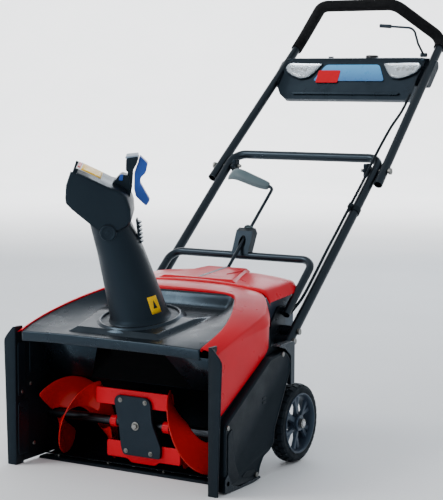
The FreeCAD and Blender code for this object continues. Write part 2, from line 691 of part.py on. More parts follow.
def chute_base():
    """The turning flange under the tube, with the crown teeth that the drive pinion turns."""
    outer, inner = size("ring_radius") - 4.5, size("chute_radius") - size("chute_wall")
    flange = ring((0, 0, 2.4), (0, 0, 6), outer, inner)
    mean, count = size("crown_radius"), int(size("crown_teeth"))
    teeth = []
    for k in range(count):
        tooth = ruled([
            [(mean - 4, -1.5, 2.5), (mean + 4, -1.7, 2.5), (mean + 4, 1.7, 2.5), (mean - 4, 1.5, 2.5)],
            [(mean - 4, -0.8, -2.2), (mean + 4, -0.9, -2.2), (mean + 4, 0.9, -2.2), (mean - 4, 0.8, -2.2)]])
        tooth.Placement = Placement(Vector(0, 0, 0), Rotation(Z, 360.0 * k / count + TOOTH_PHASE))
        teeth.append(tooth)
    return feature("chute_base", flange.fuse(teeth), CHUTE)


def chute_drive():
    """The pinion shaft that runs forward under the deck from the rod's universal joint."""
    pitch = size("crown_radius") * size("pinion_teeth") / size("crown_teeth")
    axis_z = -pitch + 1.2
    count, mean = int(size("pinion_teeth")), size("crown_radius")
    hub = rod((0, mean - 5, axis_z), (0, mean + 5, axis_z), pitch - 4.2)
    teeth = []
    for k in range(count):
        tooth = ruled([
            [(-1.6, mean - 4, pitch - 5.0), (1.6, mean - 4, pitch - 5.0), (1.6, mean + 4, pitch - 5.0),
             (-1.6, mean + 4, pitch - 5.0)],
            [(-0.8, mean - 4, pitch + 0.6), (0.8, mean - 4, pitch + 0.6), (0.8, mean + 4, pitch + 0.6),
             (-0.8, mean + 4, pitch + 0.6)]])
        tooth.Placement = Placement(Vector(0, 0, axis_z), Rotation(Y, 360.0 * (k + 0.5) / count))
        teeth.append(tooth)
    shaft = rod((0, mean + 5, axis_z), (0, DRIVE_END, axis_z), 6)
    yoke = rod((0, DRIVE_END - 2, axis_z), (0, DRIVE_END + 10, axis_z), 9)
    shape = hub.fuse(teeth + [shaft, yoke]).removeSplitter()
    return feature("chute_drive_shaft", shape, DECK)


def deflector_profile(points):
    return [chute_point(ahead, up) for ahead, up in points]


def deflector():
    half, wall = size("deflector_half"), size("chute_wall")
    outer = deflector_profile([
        (30, -3), (80, 47), (83, 57), (77, 91), (62, 121), (48, 114), (-5, 82), (-32, 71), (-49, 42),
        (-51, 14), (-46, 4), (-14, -24), (14, -27)])
    inner = deflector_profile([
        (60, -60), (130, 40), (120, 140), (64, 118), (49, 110), (-4, 78.5), (-30, 67.5), (-46, 41),
        (-47.5, 10), (-47.5, -60)])
    shell = prism(outer, -half, half)
    shape = shell.cut(prism(inner, -half + wall, half - wall))
    y, z = chute_point(0, 0)
    post = prism(deflector_profile([
        (-30, 68), (-50, 92), (-47, 102), (-51, 127), (-62, 128), (-58, 92), (-52, 60), (-48, 44)]), -9, 9)
    head = prism(deflector_profile([(-45, 100), (-49, 131), (-73, 132), (-70, 118), (-58, 98)]), -17, 17)
    ears = [prism(deflector_profile([(-48, 70), (-67, 72), (-67, 86), (-50, 90)]), low, low + 3.4)
            for low in (8.6, -12.0)]
    slot = prism(deflector_profile([(-62, 134), (-59, 96), (-80, 96), (-80, 134)]), -9, 9)
    pin_y, pin_z = chute_point(*TRIGGER_PIN)
    pin = rod((-12, pin_y, pin_z), (12, pin_y, pin_z), 2)
    shape = shape.fuse([post, head.cut(slot), pin] + ears).removeSplitter()
    bore = rod((-half - 5, y, z - 14), (half + 5, y, z - 14), size("pin_radius") + size("run_gap"))
    return feature("deflector", shape.cut(bore), CHUTE)


def deflector_trigger():
    """The sprung release lever behind the grip; its tail engages the rack."""
    outline = deflector_profile([
        (-75, 131), (-91, 112), (-84, 92), (-72, 84), (-69, 74), (-86, 34), (-76, 24), (-57, 46),
        (-56, 62), (-60.5, 92), (-61.5, 97), (-72, 117)])
    y, z = chute_point(*TRIGGER_PIN)
    bore = rod((-20, y, z), (20, y, z), 2 + size("run_gap"))
    return feature("deflector_trigger", prism(outline, -8, 8).cut(bore), CHUTE)


# ---------------------------------------------------------------- control rod

ROD_BEND = Vector(0, size("rod_end"), size("rod_height") + (size("rod_end") - size("rod_back")) * math.tan(SLOPE))
LEVER = X * -math.sin(math.radians(size("lever_turn"))) + ABOVE * math.cos(math.radians(size("lever_turn")))


def rod_point(back):
    return ROD_BEND + ALONG * ((back - ROD_BEND.y) / ALONG.y)


def control_rod():
    radius = size("rod_radius")
    path = [tuple(rod_point(ROD_START)), tuple(ROD_BEND), tuple(ROD_BEND + LEVER * 34)]
    bar = swept(rounded_path(path, [12]), radius)
    yoke = rod(tuple(rod_point(ROD_START) - ALONG * 8), tuple(rod_point(ROD_START) + ALONG * 4), 9)
    return feature("control_rod", bar.fuse(yoke))


def control_lever():
    reach = size("lever_length")
    up = LEVER.cross(ALONG)

    def station(distance, width, depth, shift):
        centre = ROD_BEND + LEVER * distance + ALONG * shift
        return [tuple(centre + ALONG * (a * width) + up * (b * depth))
                for a, b in ((-1, -0.5), (-0.5, -1), (0.5, -1), (1, -0.5), (1, 0.5), (0.5, 1), (-0.5, 1), (-1, 0.5))]

    body = ruled([station(14, 8, 8, 0), station(60, 12, 10, 2), station(reach - 20, 12, 10, 6),
                  station(reach, 6, 7, 12)])
    bore = rod(tuple(ROD_BEND), tuple(ROD_BEND + LEVER * 34), size("rod_radius"))
    return feature("control_lever", body.cut(bore))


def rod_support():
    bar = loop_corner()
    seat = rod_point(size("rod_back") + 87)
    plate = prism([(bar.y - 9, bar.z + 4), (bar.y + 9, bar.z - 2), (seat.y + 10, seat.z + 2),
                   (seat.y + 2, seat.z + 14), (seat.y - 12, seat.z + 8)], -22, 22)
    crossbar = rod((-60, bar.y, bar.z), (60, bar.y, bar.z), size("loop_radius"))
    hole = rod(tuple(seat - ALONG * 40), tuple(seat + ALONG * 40), 9)
    feature("rod_bracket", plate.cut(crossbar).cut(hole))
    start, end = seat - ALONG * 12, seat + ALONG * 16
    bush = rod(tuple(start), tuple(end), 9).fuse(rod(tuple(seat + ALONG * 14), tuple(end), 14))
    feature("rod_bushing", bush.cut(rod(tuple(start - ALONG), tuple(end + ALONG),
                                        size("rod_radius") + size("run_gap"))))


# ---------------------------------------------------------------- handle

def loop_corner(x=0.0):
    return handle_point(x, size("loop_end"), size("loop_offset"))


def lower_handle():
    half, start, end = size("leg_half"), size("leg_start"), size("leg_end")
    path = [tuple(handle_point(-half, start)), tuple(handle_point(-half, end)),
            tuple(handle_point(half, end)), tuple(handle_point(half, start))]
    shape = tube(path, [34, 34], size("tube_radius"), size("tube_wall"))
    for side in (-1, 1):
        for back in MOUNT_BACKS + [size("knob_bolt_back")]:
            centre = handle_point(side * half, back)
            shape = shape.cut(rod(tuple(centre - X * 20), tuple(centre + X * 20), size("handle_bolt_radius")))
    feature("lower_handle", shape)


def support_loop():
    half, start = size("loop_half"), size("loop_start")
    path = [tuple(handle_point(-half, start, size("loop_offset"))), tuple(loop_corner(-half)),
            tuple(loop_corner(half)), tuple(handle_point(half, start, size("loop_offset")))]
    feature("support_loop", tube(path, [30, 30], size("loop_radius"), size("tube_wall")))



def handle_mounts():
    """Steel plates on the rear body's sides, with bosses that carry the legs and the loop."""
    half, radius = size("body_half"), size("tube_radius")
    plates, bolts = [], []
    for side in (-1, 1):
        foot = handle_point(side * half, size("loop_start") + 8, size("loop_offset"))
        plate = prism([(276, 226), (340, 262), (340, 322), (306, 322), (276, 290)], half, half + 4)
        boss = [rod(tuple(handle_point(half, back)), tuple(handle_point(size("leg_half"), back)), 12)
                for back in MOUNT_BACKS]
        arm = rod((half, foot.y, foot.z), (size("loop_half"), foot.y, foot.z), 8)
        shape = plate.fuse(boss + [arm]).removeSplitter()
        leg = rod(tuple(handle_point(size("leg_half"), 270)), tuple(handle_point(size("leg_half"), 380)), radius)
        loop_leg = rod(tuple(handle_point(size("loop_half"), 300, size("loop_offset"))),
                       tuple(handle_point(size("loop_half"), 400, size("loop_offset"))), size("loop_radius"))
        shape = shape.cut(leg).cut(loop_leg)
        for back in MOUNT_BACKS:
            centre = handle_point(half, back)
            shape = shape.cut(rod(tuple(centre - X), tuple(centre + X * 60), size("handle_bolt_radius")))
        plates.append(shape if side > 0 else mirrored(shape))
        for back in MOUNT_BACKS:
            start, end = handle_point(half, back), handle_point(size("leg_half") + radius, back)
            bolt = rod(tuple(start), tuple(end + X * 3), size("handle_bolt_radius")).fuse(
                rod(tuple(end), tuple(end + X * 5), 7))
            bolts.append(bolt if side > 0 else mirrored(bolt))
    group("handle_mounts", plates)
    for side in (-1, 1):
        centre = handle_point(size("leg_half"), size("knob_bolt_back"))
        outer = size("upper_half") + radius + 1
        bolt = rod((size("leg_half") - radius - 26, centre.y, centre.z), (outer + 4, centre.y, centre.z),
                   size("handle_bolt_radius")).fuse(
            rod((outer, centre.y, centre.z), (outer + 5, centre.y, centre.z), 8))
        bolts.append(bolt if side > 0 else mirrored(bolt))
    group("handle_bolts", bolts)


def upper_points(start):
    """The upper handle's corners from one lower end to the other."""
    share = (start - size("upper_start")) / (size("grip_back") - size("upper_start"))
    x = size("upper_half") + (size("grip_half") - size("upper_half")) * share
    foot = handle_point(x, start)
    bend = (size("grip_half"), size("grip_back"), size("grip_height"))
    top = (size("top_half"), size("top_back"), size("top_height"))
    right = [tuple(foot), bend, top]
    return [(-x, y, z) for x, y, z in right] + right[::-1]


def upper_handle():
    shape = tube(upper_points(size("upper_start")), GRIP_BENDS, size("tube_radius"), size("tube_wall"))
    centre = handle_point(0, size("knob_bolt_back"))
    bore = rod((-300, centre.y, centre.z), (300, centre.y, centre.z),
               size("handle_bolt_radius") + size("run_gap"))
    feature("upper_handle", shape.cut(bore))
    foam = tube(upper_points(FOAM_START), GRIP_BENDS, size("tube_radius") + size("foam_thick"),
                size("foam_thick"))
    feature("foam_grip", foam)


def knob(label, side):
    centre = handle_point(0, size("knob_bolt_back"))
    low = size("leg_half") - size("tube_radius") - 1.0
    body = rod((low - 16, centre.y, centre.z), (low, centre.y, centre.z), 14)
    lobes = []
    for k in range(6):
        turn = math.radians(60 * k)
        y, z = centre.y + 14 * math.cos(turn), centre.z + 14 * math.sin(turn)
        lobes.append(rod((low - 16, y, z), (low - 4, y, z), 6))
    shape = body.fuse(lobes).removeSplitter().cut(
        rod((low - 30, centre.y, centre.z), (low + 5, centre.y, centre.z),
            size("handle_bolt_radius") + size("run_gap")))
    return feature(label, shape if side > 0 else mirrored(shape))


# ---------------------------------------------------------------- console

FACE_LOW, FACE_HIGH = Vector(0, 962, 770), Vector(0, 1025, 868)
FACE_UP = (FACE_HIGH - FACE_LOW).normalize()
FACE_OUT = Vector(0, -FACE_UP.z, FACE_UP.y)
CONSOLE_TOP = 878.0


def console_block(inset):
    """The console's outer or inner body: a sloping face, a flat top and chamfered lower corners."""
    shift = inset
    points = [(962 + shift * 1.2, 770 + shift * 0.6), (1025 + shift, 868), (1034, CONSOLE_TOP - shift),
              (1080 - shift, CONSOLE_TOP - shift), (1084 - shift, 862), (1036 - shift, 784),
              (1002, 762 + shift)]
    shape = prism(points, -199 + inset, 199 - inset)
    corner = prism([(199, 812), (150, 755), (260, 740), (260, 812)], 900, 1200, "y")
    corner.translate(Vector(-inset, 0, 0))
    return shape.cut(corner).cut(mirrored(corner))


def on_face(x, up, out):
    point = FACE_LOW + FACE_UP * up + FACE_OUT * out + X * x
    return tuple(point)


def face_plate(points, out_low, out_high):
    """A plate on the console's sloping face, from (x, up) points."""
    low = section([on_face(x, up, out_low) for x, up in points])
    return Part.Face(low).extrude(FACE_OUT * (out_high - out_low))


LENS = [(112, 66), (124, 108), (192, 108), (196, 96), (168, 70), (150, 64)]


def console():
    outer, inner = console_block(0), console_block(3)
    split = face_plate([(-240, -60), (240, -60), (240, 200), (-240, 200)], -14, 60)
    lobes = [block((198.9, 990, 826), (222, 1052, 866)), block((-222, 990, 826), (-198.9, 1052, 866))]
    path = upper_points(size("upper_start"))
    bars = [rod(path[0], path[1], size("tube_radius")), rod(path[-1], path[-2], size("tube_radius"))]
    shell = outer.cut(inner)
    buttons = [rod((START_X, BUTTON_BACK, 860), (START_X, BUTTON_BACK, 900), 17.3),
               rod((LIGHT_X, BUTTON_BACK, 860), (LIGHT_X, BUTTON_BACK, 900), 7.3)]
    back = shell.cut(split).fuse(lobes).cut(bars[0]).cut(bars[1]).cut(buttons[0]).cut(buttons[1])
    feature("console_back", back)
    front = shell.common(split)
    windows = [face_plate([(side * x, up) for x, up in LENS], -12, 20) for side in (-1, 1)]
    recess = face_plate([(-108, 58), (-92, 106), (92, 106), (108, 58)], -1.0, 20)
    front = front.cut(lobes[0]).cut(lobes[1]).cut(buttons[0]).cut(buttons[1])
    feature("console_front", front.cut(windows[0]).cut(windows[1]).cut(recess))
    lenses = [face_plate([(side * x, up) for x, up in LENS], -3.0, 1.0) for side in (-1, 1)]
    group("lamp_lenses", lenses)


def buttons():
    dome = rod((START_X, BUTTON_BACK, CONSOLE_TOP - 10), (START_X, BUTTON_BACK, CONSOLE_TOP + 7), 17)
    top = [e for e in dome.Edges if abs(e.BoundBox.ZMin - (CONSOLE_TOP + 7)) < 0.01 and e.Closed]
    feature("start_button", dome.makeFillet(5, top[:1]))
    feature("light_button", rod((LIGHT_X, BUTTON_BACK, CONSOLE_TOP - 8),
                                (LIGHT_X, BUTTON_BACK, CONSOLE_TOP + 4), 7))


def control_bar():
    """The sprung operator bar that is squeezed back towards the grip."""
    points = [(190, 1040, 884), (190, 1003, 912), (190, 975, 950), (100, 972, 957)]
    bar = swept(rounded_path(points, [14, 16]), 3)
    grip = rod((128, 973, 955), (98, 972, 957), 5)
    hub = rod((182, 1040, 884), (198, 1040, 884), 5.5)
    feature("control_bar", bar.fuse([grip, hub]))


# ---------------------------------------------------------------- cable

def cables():
    radius = 3.5
    upper = [handle_point(186, 962, -12), handle_point(190, 905, -6), handle_point(196, 845, 12),
             handle_point(197, 791, 17)]
    lower = [handle_point(197, 790, 17), handle_point(197, 735, 17), handle_point(198, 680, 16),
             handle_point(198, 620, 17), handle_point(197, 560, 16), handle_point(197, 500, 17),
             handle_point(197, 440, 16), handle_point(196, 390, 16), handle_point(184, 362, 10),
             handle_point(174.5, 350, 6)]
    for label, points in (("cable_upper", upper), ("cable_lower", lower)):
        bends = []
        for before, corner, after in zip(points, points[1:], points[2:]):
            turn = (corner - before).getAngle(after - corner)
            run = min((corner - before).Length, (after - corner).Length)
            bends.append(0.45 * run / math.tan(turn / 2))
        print(label, "bend radii", [round(r) for r in bends])
        path = rounded_path([tuple(p) for p in points], bends)
        feature(label, swept(path, radius))
    clip = handle_point(size("leg_half"), 620)
    band = ring(tuple(clip - ALONG * 7), tuple(clip + ALONG * 7), size("tube_radius") + 2, size("tube_radius"))
    at_cable = handle_point(198, 620, 17)
    eye = ring(tuple(at_cable - ALONG * 6), tuple(at_cable + ALONG * 6), radius + 2, radius + 0.6)
    core = rod(tuple(clip - ALONG * 9), tuple(clip + ALONG * 9), size("tube_radius"))
    feature("cable_clip", band.fuse(eye).removeSplitter().cut(core))


# ---------------------------------------------------------------- build everything

rotor_housing()
side_plate("side_plate_right", False)
side_plate("side_plate_left", True)
scraper_blade()
front_deck()
hood_shroud()
hood_lid()
rear_body()
chassis_pan()
belt_cover()
housing_screws()
rotor_flights("rotor_flights_right", 1)
rotor_flights("rotor_flights_left", -1)
rotor_brackets()
rotor_paddle()
paddle_bolts()
rotor_shaft()
bearings()
feature("rotor_pulley", pulley(ROTOR, 42, size("shaft_radius"), 10))
drive_belt()
motor()
power_unit()
battery_door()
axle()
wheel("right", 1)
wheel("left", -1)
chute_tube()
chute_base()
chute_drive()
deflector()
deflector_trigger()
control_rod()
control_lever()
rod_support()
lower_handle()
support_loop()
handle_mounts()
upper_handle()
knob("handle_knob_right", 1)
knob("handle_knob_left", -1)
console()
buttons()
control_bar()
cables()

doc.recompute()
os.makedirs("parts", exist_ok=True)
for obj in NODES:
    state = [word for word in obj.State if word in ("Invalid", "Error")]
    if state or obj.Shape.isNull() or not obj.Shape.isValid():
        raise RuntimeError("%s did not build: %s" % (obj.Label, obj.State))
for obj in NODES:
    obj.Shape.exportStep(os.path.join("parts", obj.Label + ".step"))
print(len(NODES), "parts written")
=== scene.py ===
from math import copysign, cos, hypot, pi, radians, sin, tan

import bmesh
import bpy
from mathutils import Matrix, Vector


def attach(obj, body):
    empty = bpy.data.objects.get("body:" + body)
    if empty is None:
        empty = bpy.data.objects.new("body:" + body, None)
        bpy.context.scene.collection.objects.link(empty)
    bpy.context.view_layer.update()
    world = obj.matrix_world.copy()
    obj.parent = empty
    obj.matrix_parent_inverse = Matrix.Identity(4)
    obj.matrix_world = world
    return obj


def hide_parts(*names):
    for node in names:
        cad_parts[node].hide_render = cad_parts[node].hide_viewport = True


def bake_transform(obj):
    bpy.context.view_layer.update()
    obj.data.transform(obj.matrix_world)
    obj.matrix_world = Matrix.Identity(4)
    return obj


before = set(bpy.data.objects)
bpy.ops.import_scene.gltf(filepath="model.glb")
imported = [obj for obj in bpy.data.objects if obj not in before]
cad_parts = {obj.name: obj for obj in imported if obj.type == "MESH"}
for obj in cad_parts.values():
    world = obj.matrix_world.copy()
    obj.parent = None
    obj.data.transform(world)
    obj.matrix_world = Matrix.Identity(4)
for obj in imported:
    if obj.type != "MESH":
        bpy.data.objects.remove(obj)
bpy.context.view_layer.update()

MM = 0.001
X, Z = Vector((1, 0, 0)), Vector((0, 0, 1))


# ---------------------------------------------------------------- materials

def new_material(name):
    mat = bpy.data.materials.new(name)
    mat.use_nodes = True
    nodes, links = mat.node_tree.nodes, mat.node_tree.links
    return mat, nodes, links, nodes["Principled BSDF"]


def fill(node, values):
    for name, value in values.items():
        node.inputs[name].default_value = value


def noise(nodes, links, scale, detail=3.0, stretch=(1, 1, 1)):
    """A noise texture in the piece's own coordinates; scale is in features per metre."""
    coords = nodes.new("ShaderNodeTexCoord")
    mapping = nodes.new("ShaderNodeMapping")
    fill(mapping, {"Scale": stretch})
    tex = nodes.new("ShaderNodeTexNoise")
    fill(tex, {"Scale": scale, "Detail": detail})
    links.new(coords.outputs["Object"], mapping.inputs["Vector"])
    links.new(mapping.outputs["Vector"], tex.inputs["Vector"])
    return tex.outputs["Fac"]


def between(nodes, links, factor, low, high, start=0.3, end=0.7):
    """A value that runs from low to high as factor runs from start to end."""
    node = nodes.new("ShaderNodeMapRange")
    fill(node, {"From Min": start, "From Max": end, "To Min": low, "To Max": high})
    links.new(factor, node.inputs["Value"])
    return node.outputs["Result"]


def blend_color(nodes, links, factor, low, high, start=0.3, end=0.7):
    ramp = nodes.new("ShaderNodeValToRGB")
    ramp.color_ramp.elements[0].position = start
    ramp.color_ramp.elements[1].position = end
    ramp.color_ramp.elements[0].color = (*low, 1)
    ramp.color_ramp.elements[1].color = (*high, 1)
    links.new(factor, ramp.inputs["Fac"])
    return ramp.outputs["Color"]


def surface(name, low, high, rough, metal=0.0, coat=0.0, patch=9.0, grain=900.0,
            depth=0.1, size=0.0002, wave=0.0, stretch=(1, 1, 1), specular=0.5, tint=(1, 1, 1, 1)):
    """Colour that varies between low and high, uneven gloss, and a fine grain with a slow wave under it."""
    mat, nodes, links, shader = new_material(name)
    fill(shader, {"Metallic": metal, "Coat Weight": coat, "Coat Roughness": 0.1,
                  "Specular IOR Level": specular, "Specular Tint": tint})
    patches = noise(nodes, links, patch, 4.0)
    links.new(blend_color(nodes, links, patches, low, high), shader.inputs["Base Color"])
    smudges = noise(nodes, links, patch * 3.1, 5.0, stretch)
    links.new(between(nodes, links, smudges, rough[0], rough[1]), shader.inputs["Roughness"])
    fine = nodes.new("ShaderNodeBump")
    fill(fine, {"Strength": depth, "Distance": size})
    links.new(noise(nodes, links, grain, 2.0, stretch), fine.inputs["Height"])
    if wave:
        slow = nodes.new("ShaderNodeBump")
        fill(slow, {"Strength": wave, "Distance": 0.001})
        links.new(noise(nodes, links, 28.0, 1.0), slow.inputs["Height"])
        links.new(slow.outputs["Normal"], fine.inputs["Normal"])
    links.new(fine.outputs["Normal"], shader.inputs["Normal"])
    return mat


# The dark plastics' highlights are a little blue.
COOL = (0.50, 0.76, 1.0, 1)
CHARCOAL = surface("charcoal_plastic", (0.0032, 0.0048, 0.0068), (0.0050, 0.0070, 0.0098), (0.24, 0.36),
                   grain=1400, depth=0.12, wave=0.06, specular=0.42, tint=COOL)
CHARCOAL_ROUGH = surface("charcoal_grained", (0.0022, 0.0030, 0.0042), (0.0036, 0.0048, 0.0064),
                         (0.45, 0.58), grain=1100, depth=0.35, size=0.0003, specular=0.25,
                         tint=COOL)
SLATE = surface("slate_plastic", (0.010, 0.016, 0.027), (0.016, 0.024, 0.038), (0.24, 0.36), grain=1200,
                depth=0.15, specular=0.5, tint=COOL)
# The housing's own charcoal plastic, made darker and duller inside the mouth: painted shade.
SHADED_INSIDE = surface("housing_inside_painted_shade", (0.0014, 0.0020, 0.0028), (0.0026, 0.0034, 0.0044), (0.5, 0.62),
                 grain=1100, depth=0.25, size=0.0003, specular=0.12, tint=COOL)
# Near black, far darker than the plastic it is made of: painted shade deep in the discharge duct.
DUCT_PAINTED_SHADE = surface("duct_painted_shade", (0.0006, 0.0008, 0.0011), (0.0012, 0.0015, 0.0019), (0.7, 0.8), grain=1100,
               depth=0.25, size=0.0003, specular=0.04)
OILED = surface("oiled_steel", (0.030, 0.034, 0.040), (0.055, 0.060, 0.068), (0.3, 0.42), metal=1.0,
                grain=500, stretch=(0.05, 1, 1), depth=0.15)
CHUTE_BLACK = surface("chute_plastic", (0.0030, 0.0042, 0.0060), (0.0046, 0.0062, 0.0084), (0.36, 0.48),
                      grain=1300, depth=0.25, size=0.0003, wave=0.05, specular=0.32, tint=COOL)
RED = surface("red_plastic", (0.55, 0.0, 0.010), (0.64, 0.0002, 0.014), (0.26, 0.36), grain=700,
              depth=0.05, wave=0.05, specular=0.14)
ENAMEL = surface("red_enamel", (0.40, 0.0008, 0.0006), (0.50, 0.0016, 0.001), (0.22, 0.38), coat=0.1,
                 grain=500, depth=0.15, wave=0.12, specular=0.25)
POWDER = surface("black_powder_coat", (0.0040, 0.0050, 0.0064), (0.0066, 0.0080, 0.0098), (0.26, 0.36),
                 grain=1600, depth=0.3, size=0.00015, coat=0.1, specular=0.4, tint=COOL)
STEEL = surface("bright_steel", (0.42, 0.43, 0.45), (0.55, 0.56, 0.58), (0.22, 0.36), metal=1.0, grain=500,
                stretch=(0.05, 1, 1), depth=0.15)
ZINC = surface("zinc_screw", (0.20, 0.20, 0.19), (0.32, 0.32, 0.30), (0.3, 0.45), metal=1.0, grain=900,
               depth=0.2)
RUBBER = surface("black_rubber", (0.0045, 0.0064, 0.0090), (0.0066, 0.0090, 0.0125), (0.45, 0.58), grain=1000,
                 depth=0.3, size=0.0003, specular=0.35, tint=COOL)
TYRE = surface("tyre_rubber", (0.0020, 0.0024, 0.0032), (0.0052, 0.0058, 0.0068), (0.6, 0.8), grain=700,
               depth=0.5, size=0.0005, patch=20, specular=0.25, tint=COOL)
RIM = surface("rim_plastic", (0.019, 0.027, 0.042), (0.027, 0.037, 0.055), (0.26, 0.4), grain=1000,
              depth=0.2, specular=0.5, tint=COOL)
FOAM = surface("foam_grip", (0.0016, 0.0018, 0.0024), (0.0046, 0.0050, 0.0060), (0.8, 0.95), grain=1500,
               depth=0.9, size=0.0008, patch=60, specular=0.2)
GREY = surface("grey_plastic", (0.085, 0.125, 0.140), (0.115, 0.160, 0.172), (0.38, 0.5), grain=1200,
               depth=0.2, patch=14, specular=0.35)
BLUE = surface("blue_plastic", (0.010, 0.055, 0.30), (0.018, 0.080, 0.38), (0.3, 0.42), grain=1200,
               depth=0.15, patch=20, specular=0.3)
CAP_GREY = surface("pale_plastic", (0.20, 0.27, 0.36), (0.25, 0.32, 0.41), (0.35, 0.45), grain=1200,
                   depth=0.15, patch=20)
CABLE = surface("cable_sheath", (0.0026, 0.0032, 0.004), (0.0050, 0.0058, 0.0066), (0.45, 0.6), grain=1500,
                depth=0.3, patch=30, specular=0.3, tint=COOL)
YELLOW = surface("yellow_label", (0.80, 0.45, 0.0), (0.90, 0.53, 0.002), (0.3, 0.4), grain=1500,
                 depth=0.05, patch=30, specular=0.1)
WHITE = surface("white_label", (0.7, 0.7, 0.7), (0.78, 0.78, 0.78), (0.3, 0.4), grain=1500,
                depth=0.05, specular=0.1)
RED_LABEL = surface("red_label", (0.55, 0.01, 0.01), (0.62, 0.02, 0.02), (0.3, 0.4), grain=1500,
                    depth=0.05, specular=0.1)
BATTERY = surface("battery_case", (0.006, 0.006, 0.007), (0.010, 0.010, 0.012), (0.4, 0.5), grain=1200,
                  depth=0.3)
CAST = surface("cast_aluminium", (0.3, 0.31, 0.32), (0.42, 0.43, 0.44), (0.4, 0.55), metal=1.0, grain=600,
               depth=0.5)
LAMP_SILVER = surface("lamp_reflector", (0.72, 0.76, 0.80), (0.86, 0.9, 0.93), (0.18, 0.26), metal=1.0,
                      grain=200, depth=0.1)


def lens_material():
    mat, nodes, links, shader = new_material("clear_lens")
    fill(shader, {"Base Color": (0.92, 0.97, 1.0, 1), "Transmission Weight": 0.9, "IOR": 1.45})
    links.new(between(nodes, links, noise(nodes, links, 40), 0.03, 0.1), shader.inputs["Roughness"])
    return mat


LENS = lens_material()


def paint(obj, mat):
    obj.data.materials.clear()
    obj.data.materials.append(mat)
    for poly in obj.data.polygons:
        poly.material_index = 0


CAD_PAINT = (
    (CHARCOAL, ["front_deck", "belt_cover", "side_plate_right", "side_plate_left", "console_back",
                "console_front"]),
    (SLATE, ["rear_body"]),
    (CHARCOAL_ROUGH, ["rotor_housing", "scraper_blade", "chassis_pan", "battery_door", "door_latch"]),
    (CHUTE_BLACK, ["chute_tube", "chute_base", "deflector", "rod_bracket"]),
    (RED, ["hood_shroud", "hood_lid"]),
    (ENAMEL, ["rotor_flights_left", "rotor_flights_right", "rotor_bracket"]),
    (POWDER, ["lower_handle", "upper_handle", "support_loop", "handle_mounts", "axle_brackets",
              "control_bar", "control_rod"]),
    (OILED, ["rotor_shaft"]),
    (STEEL, ["wheel_axle", "motor_shaft", "rotor_pulley", "chute_drive_shaft", "shaft_bearings"]),
    (ZINC, ["housing_screws", "paddle_bolts", "push_nuts", "handle_bolts"]),
    (RUBBER, ["rotor_paddle", "drive_belt"]),
    (TYRE, ["tyre_left", "tyre_right"]),
    (RIM, ["rim_left", "rim_right"]),
    (FOAM, ["foam_grip"]),
    (GREY, ["control_lever", "rod_bushing"]),
    (BLUE, ["deflector_trigger"]),
    (CABLE, ["cable_lower", "cable_upper", "cable_clip", "handle_knob_left", "handle_knob_right"]),
    (BATTERY, ["battery_pack", "battery_dock", "start_button", "light_button"]),
    (CAST, ["motor_housing", "controller_box"]),
    (LENS, ["lamp_lenses"]),
)
for mat, names in CAD_PAINT:
    for name in names:
        paint(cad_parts[name], mat)


# ---------------------------------------------------------------- mesh helpers

def add_object(name, data):
    obj = bpy.data.objects.new(name, data)
    bpy.context.scene.collection.objects.link(obj)
    return obj


def plain_mesh(name, verts, faces, mat):
    """A smooth mesh from points in millimetres."""
    mesh = bpy.data.meshes.new(name)
    mesh.from_pydata([Vector(v) * MM for v in verts], [], faces)
    mesh.shade_smooth()
    obj = add_object(name, mesh)
    paint(obj, mat)
    return obj


def make(name, verts, faces, mat, body="chassis", stands_for=(), thick=0.0, bevel=0.0, levels=0, sharp=35):
    """A cleaned mesh piece, on its body and in place of the CAD nodes it stands for."""
    obj = plain_mesh(name, verts, faces, mat)
    mesh = obj.data
    bm = bmesh.new()
    bm.from_mesh(mesh)
    bmesh.ops.remove_doubles(bm, verts=bm.verts, dist=1e-6)
    bmesh.ops.recalc_face_normals(bm, faces=bm.faces)
    bm.to_mesh(mesh)
    bm.free()
    if thick:
        solid = obj.modifiers.new("thickness", "SOLIDIFY")
        solid.thickness, solid.offset = thick * MM, -1
    if bevel:
        soften(obj, bevel)
    elif not levels:
        mesh.set_sharp_from_angle(angle=radians(sharp))
    if levels:
        smooth = obj.modifiers.new("smooth", "SUBSURF")
        smooth.levels = smooth.render_levels = levels
    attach(obj, body)
    if stands_for:
        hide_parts(*stands_for)


def soften(obj, width, segments=3, angle=32):
    """Rounded edges, with normals that keep the flats flat."""
    bevel = obj.modifiers.new("edges", "BEVEL")
    bevel.width, bevel.segments = width * MM, segments
    bevel.limit_method, bevel.angle_limit = "ANGLE", radians(angle)
    bevel.use_clamp_overlap = True
    normals = obj.modifiers.new("normals", "WEIGHTED_NORMAL")
    normals.keep_sharp = False


def loft(sections, closed=True, caps=True):
    """Faces between matching rows of points; the rows are rings when closed."""
    count = len(sections[0])
    verts = [p for row in sections for p in row]
    faces = []
    for i in range(len(sections) - 1):
        for j in range(count if closed else count - 1):
            k = (j + 1) % count
            faces.append((i * count + j, i * count + k, (i + 1) * count + k, (i + 1) * count + j))
    if caps:
        faces.append(tuple(range(count))[::-1])
        faces.append(tuple(range((len(sections) - 1) * count, len(sections) * count)))
    return verts, faces


def sheet(rows):
    """An open surface through rows of points."""
    return loft(rows, closed=False, caps=False)


def joined(parts):
    """Several (verts, faces) as one."""
    verts, faces = [], []
    for more, shape in parts:
        base = len(verts)
        verts += more
        faces += [tuple(i + base for i in face) for face in shape]
    return verts, faces


def slab(points, low, high, place):
    """A polygon of (a, b) points between two depths; place maps (a, b, depth) to space."""
    return loft([[place(a, b, low) for a, b in points], [place(a, b, high) for a, b in points]])


def turns(count):
    """The angles that divide a full turn into equal steps."""
    return [2 * pi * k / count for k in range(count)]


def spin(profile, centre, axis, steps=48):
    """A turned solid from (distance along, radius) points."""
    axis = Vector(axis).normalized()
    side = axis.orthogonal().normalized()
    other = axis.cross(side)
    rows = []
    for along, radius in profile:
        middle = Vector(centre) + axis * along
        rows.append([tuple(middle + (side * cos(a) + other * sin(a)) * radius)
                     for a in turns(steps)])
    return loft(rows)


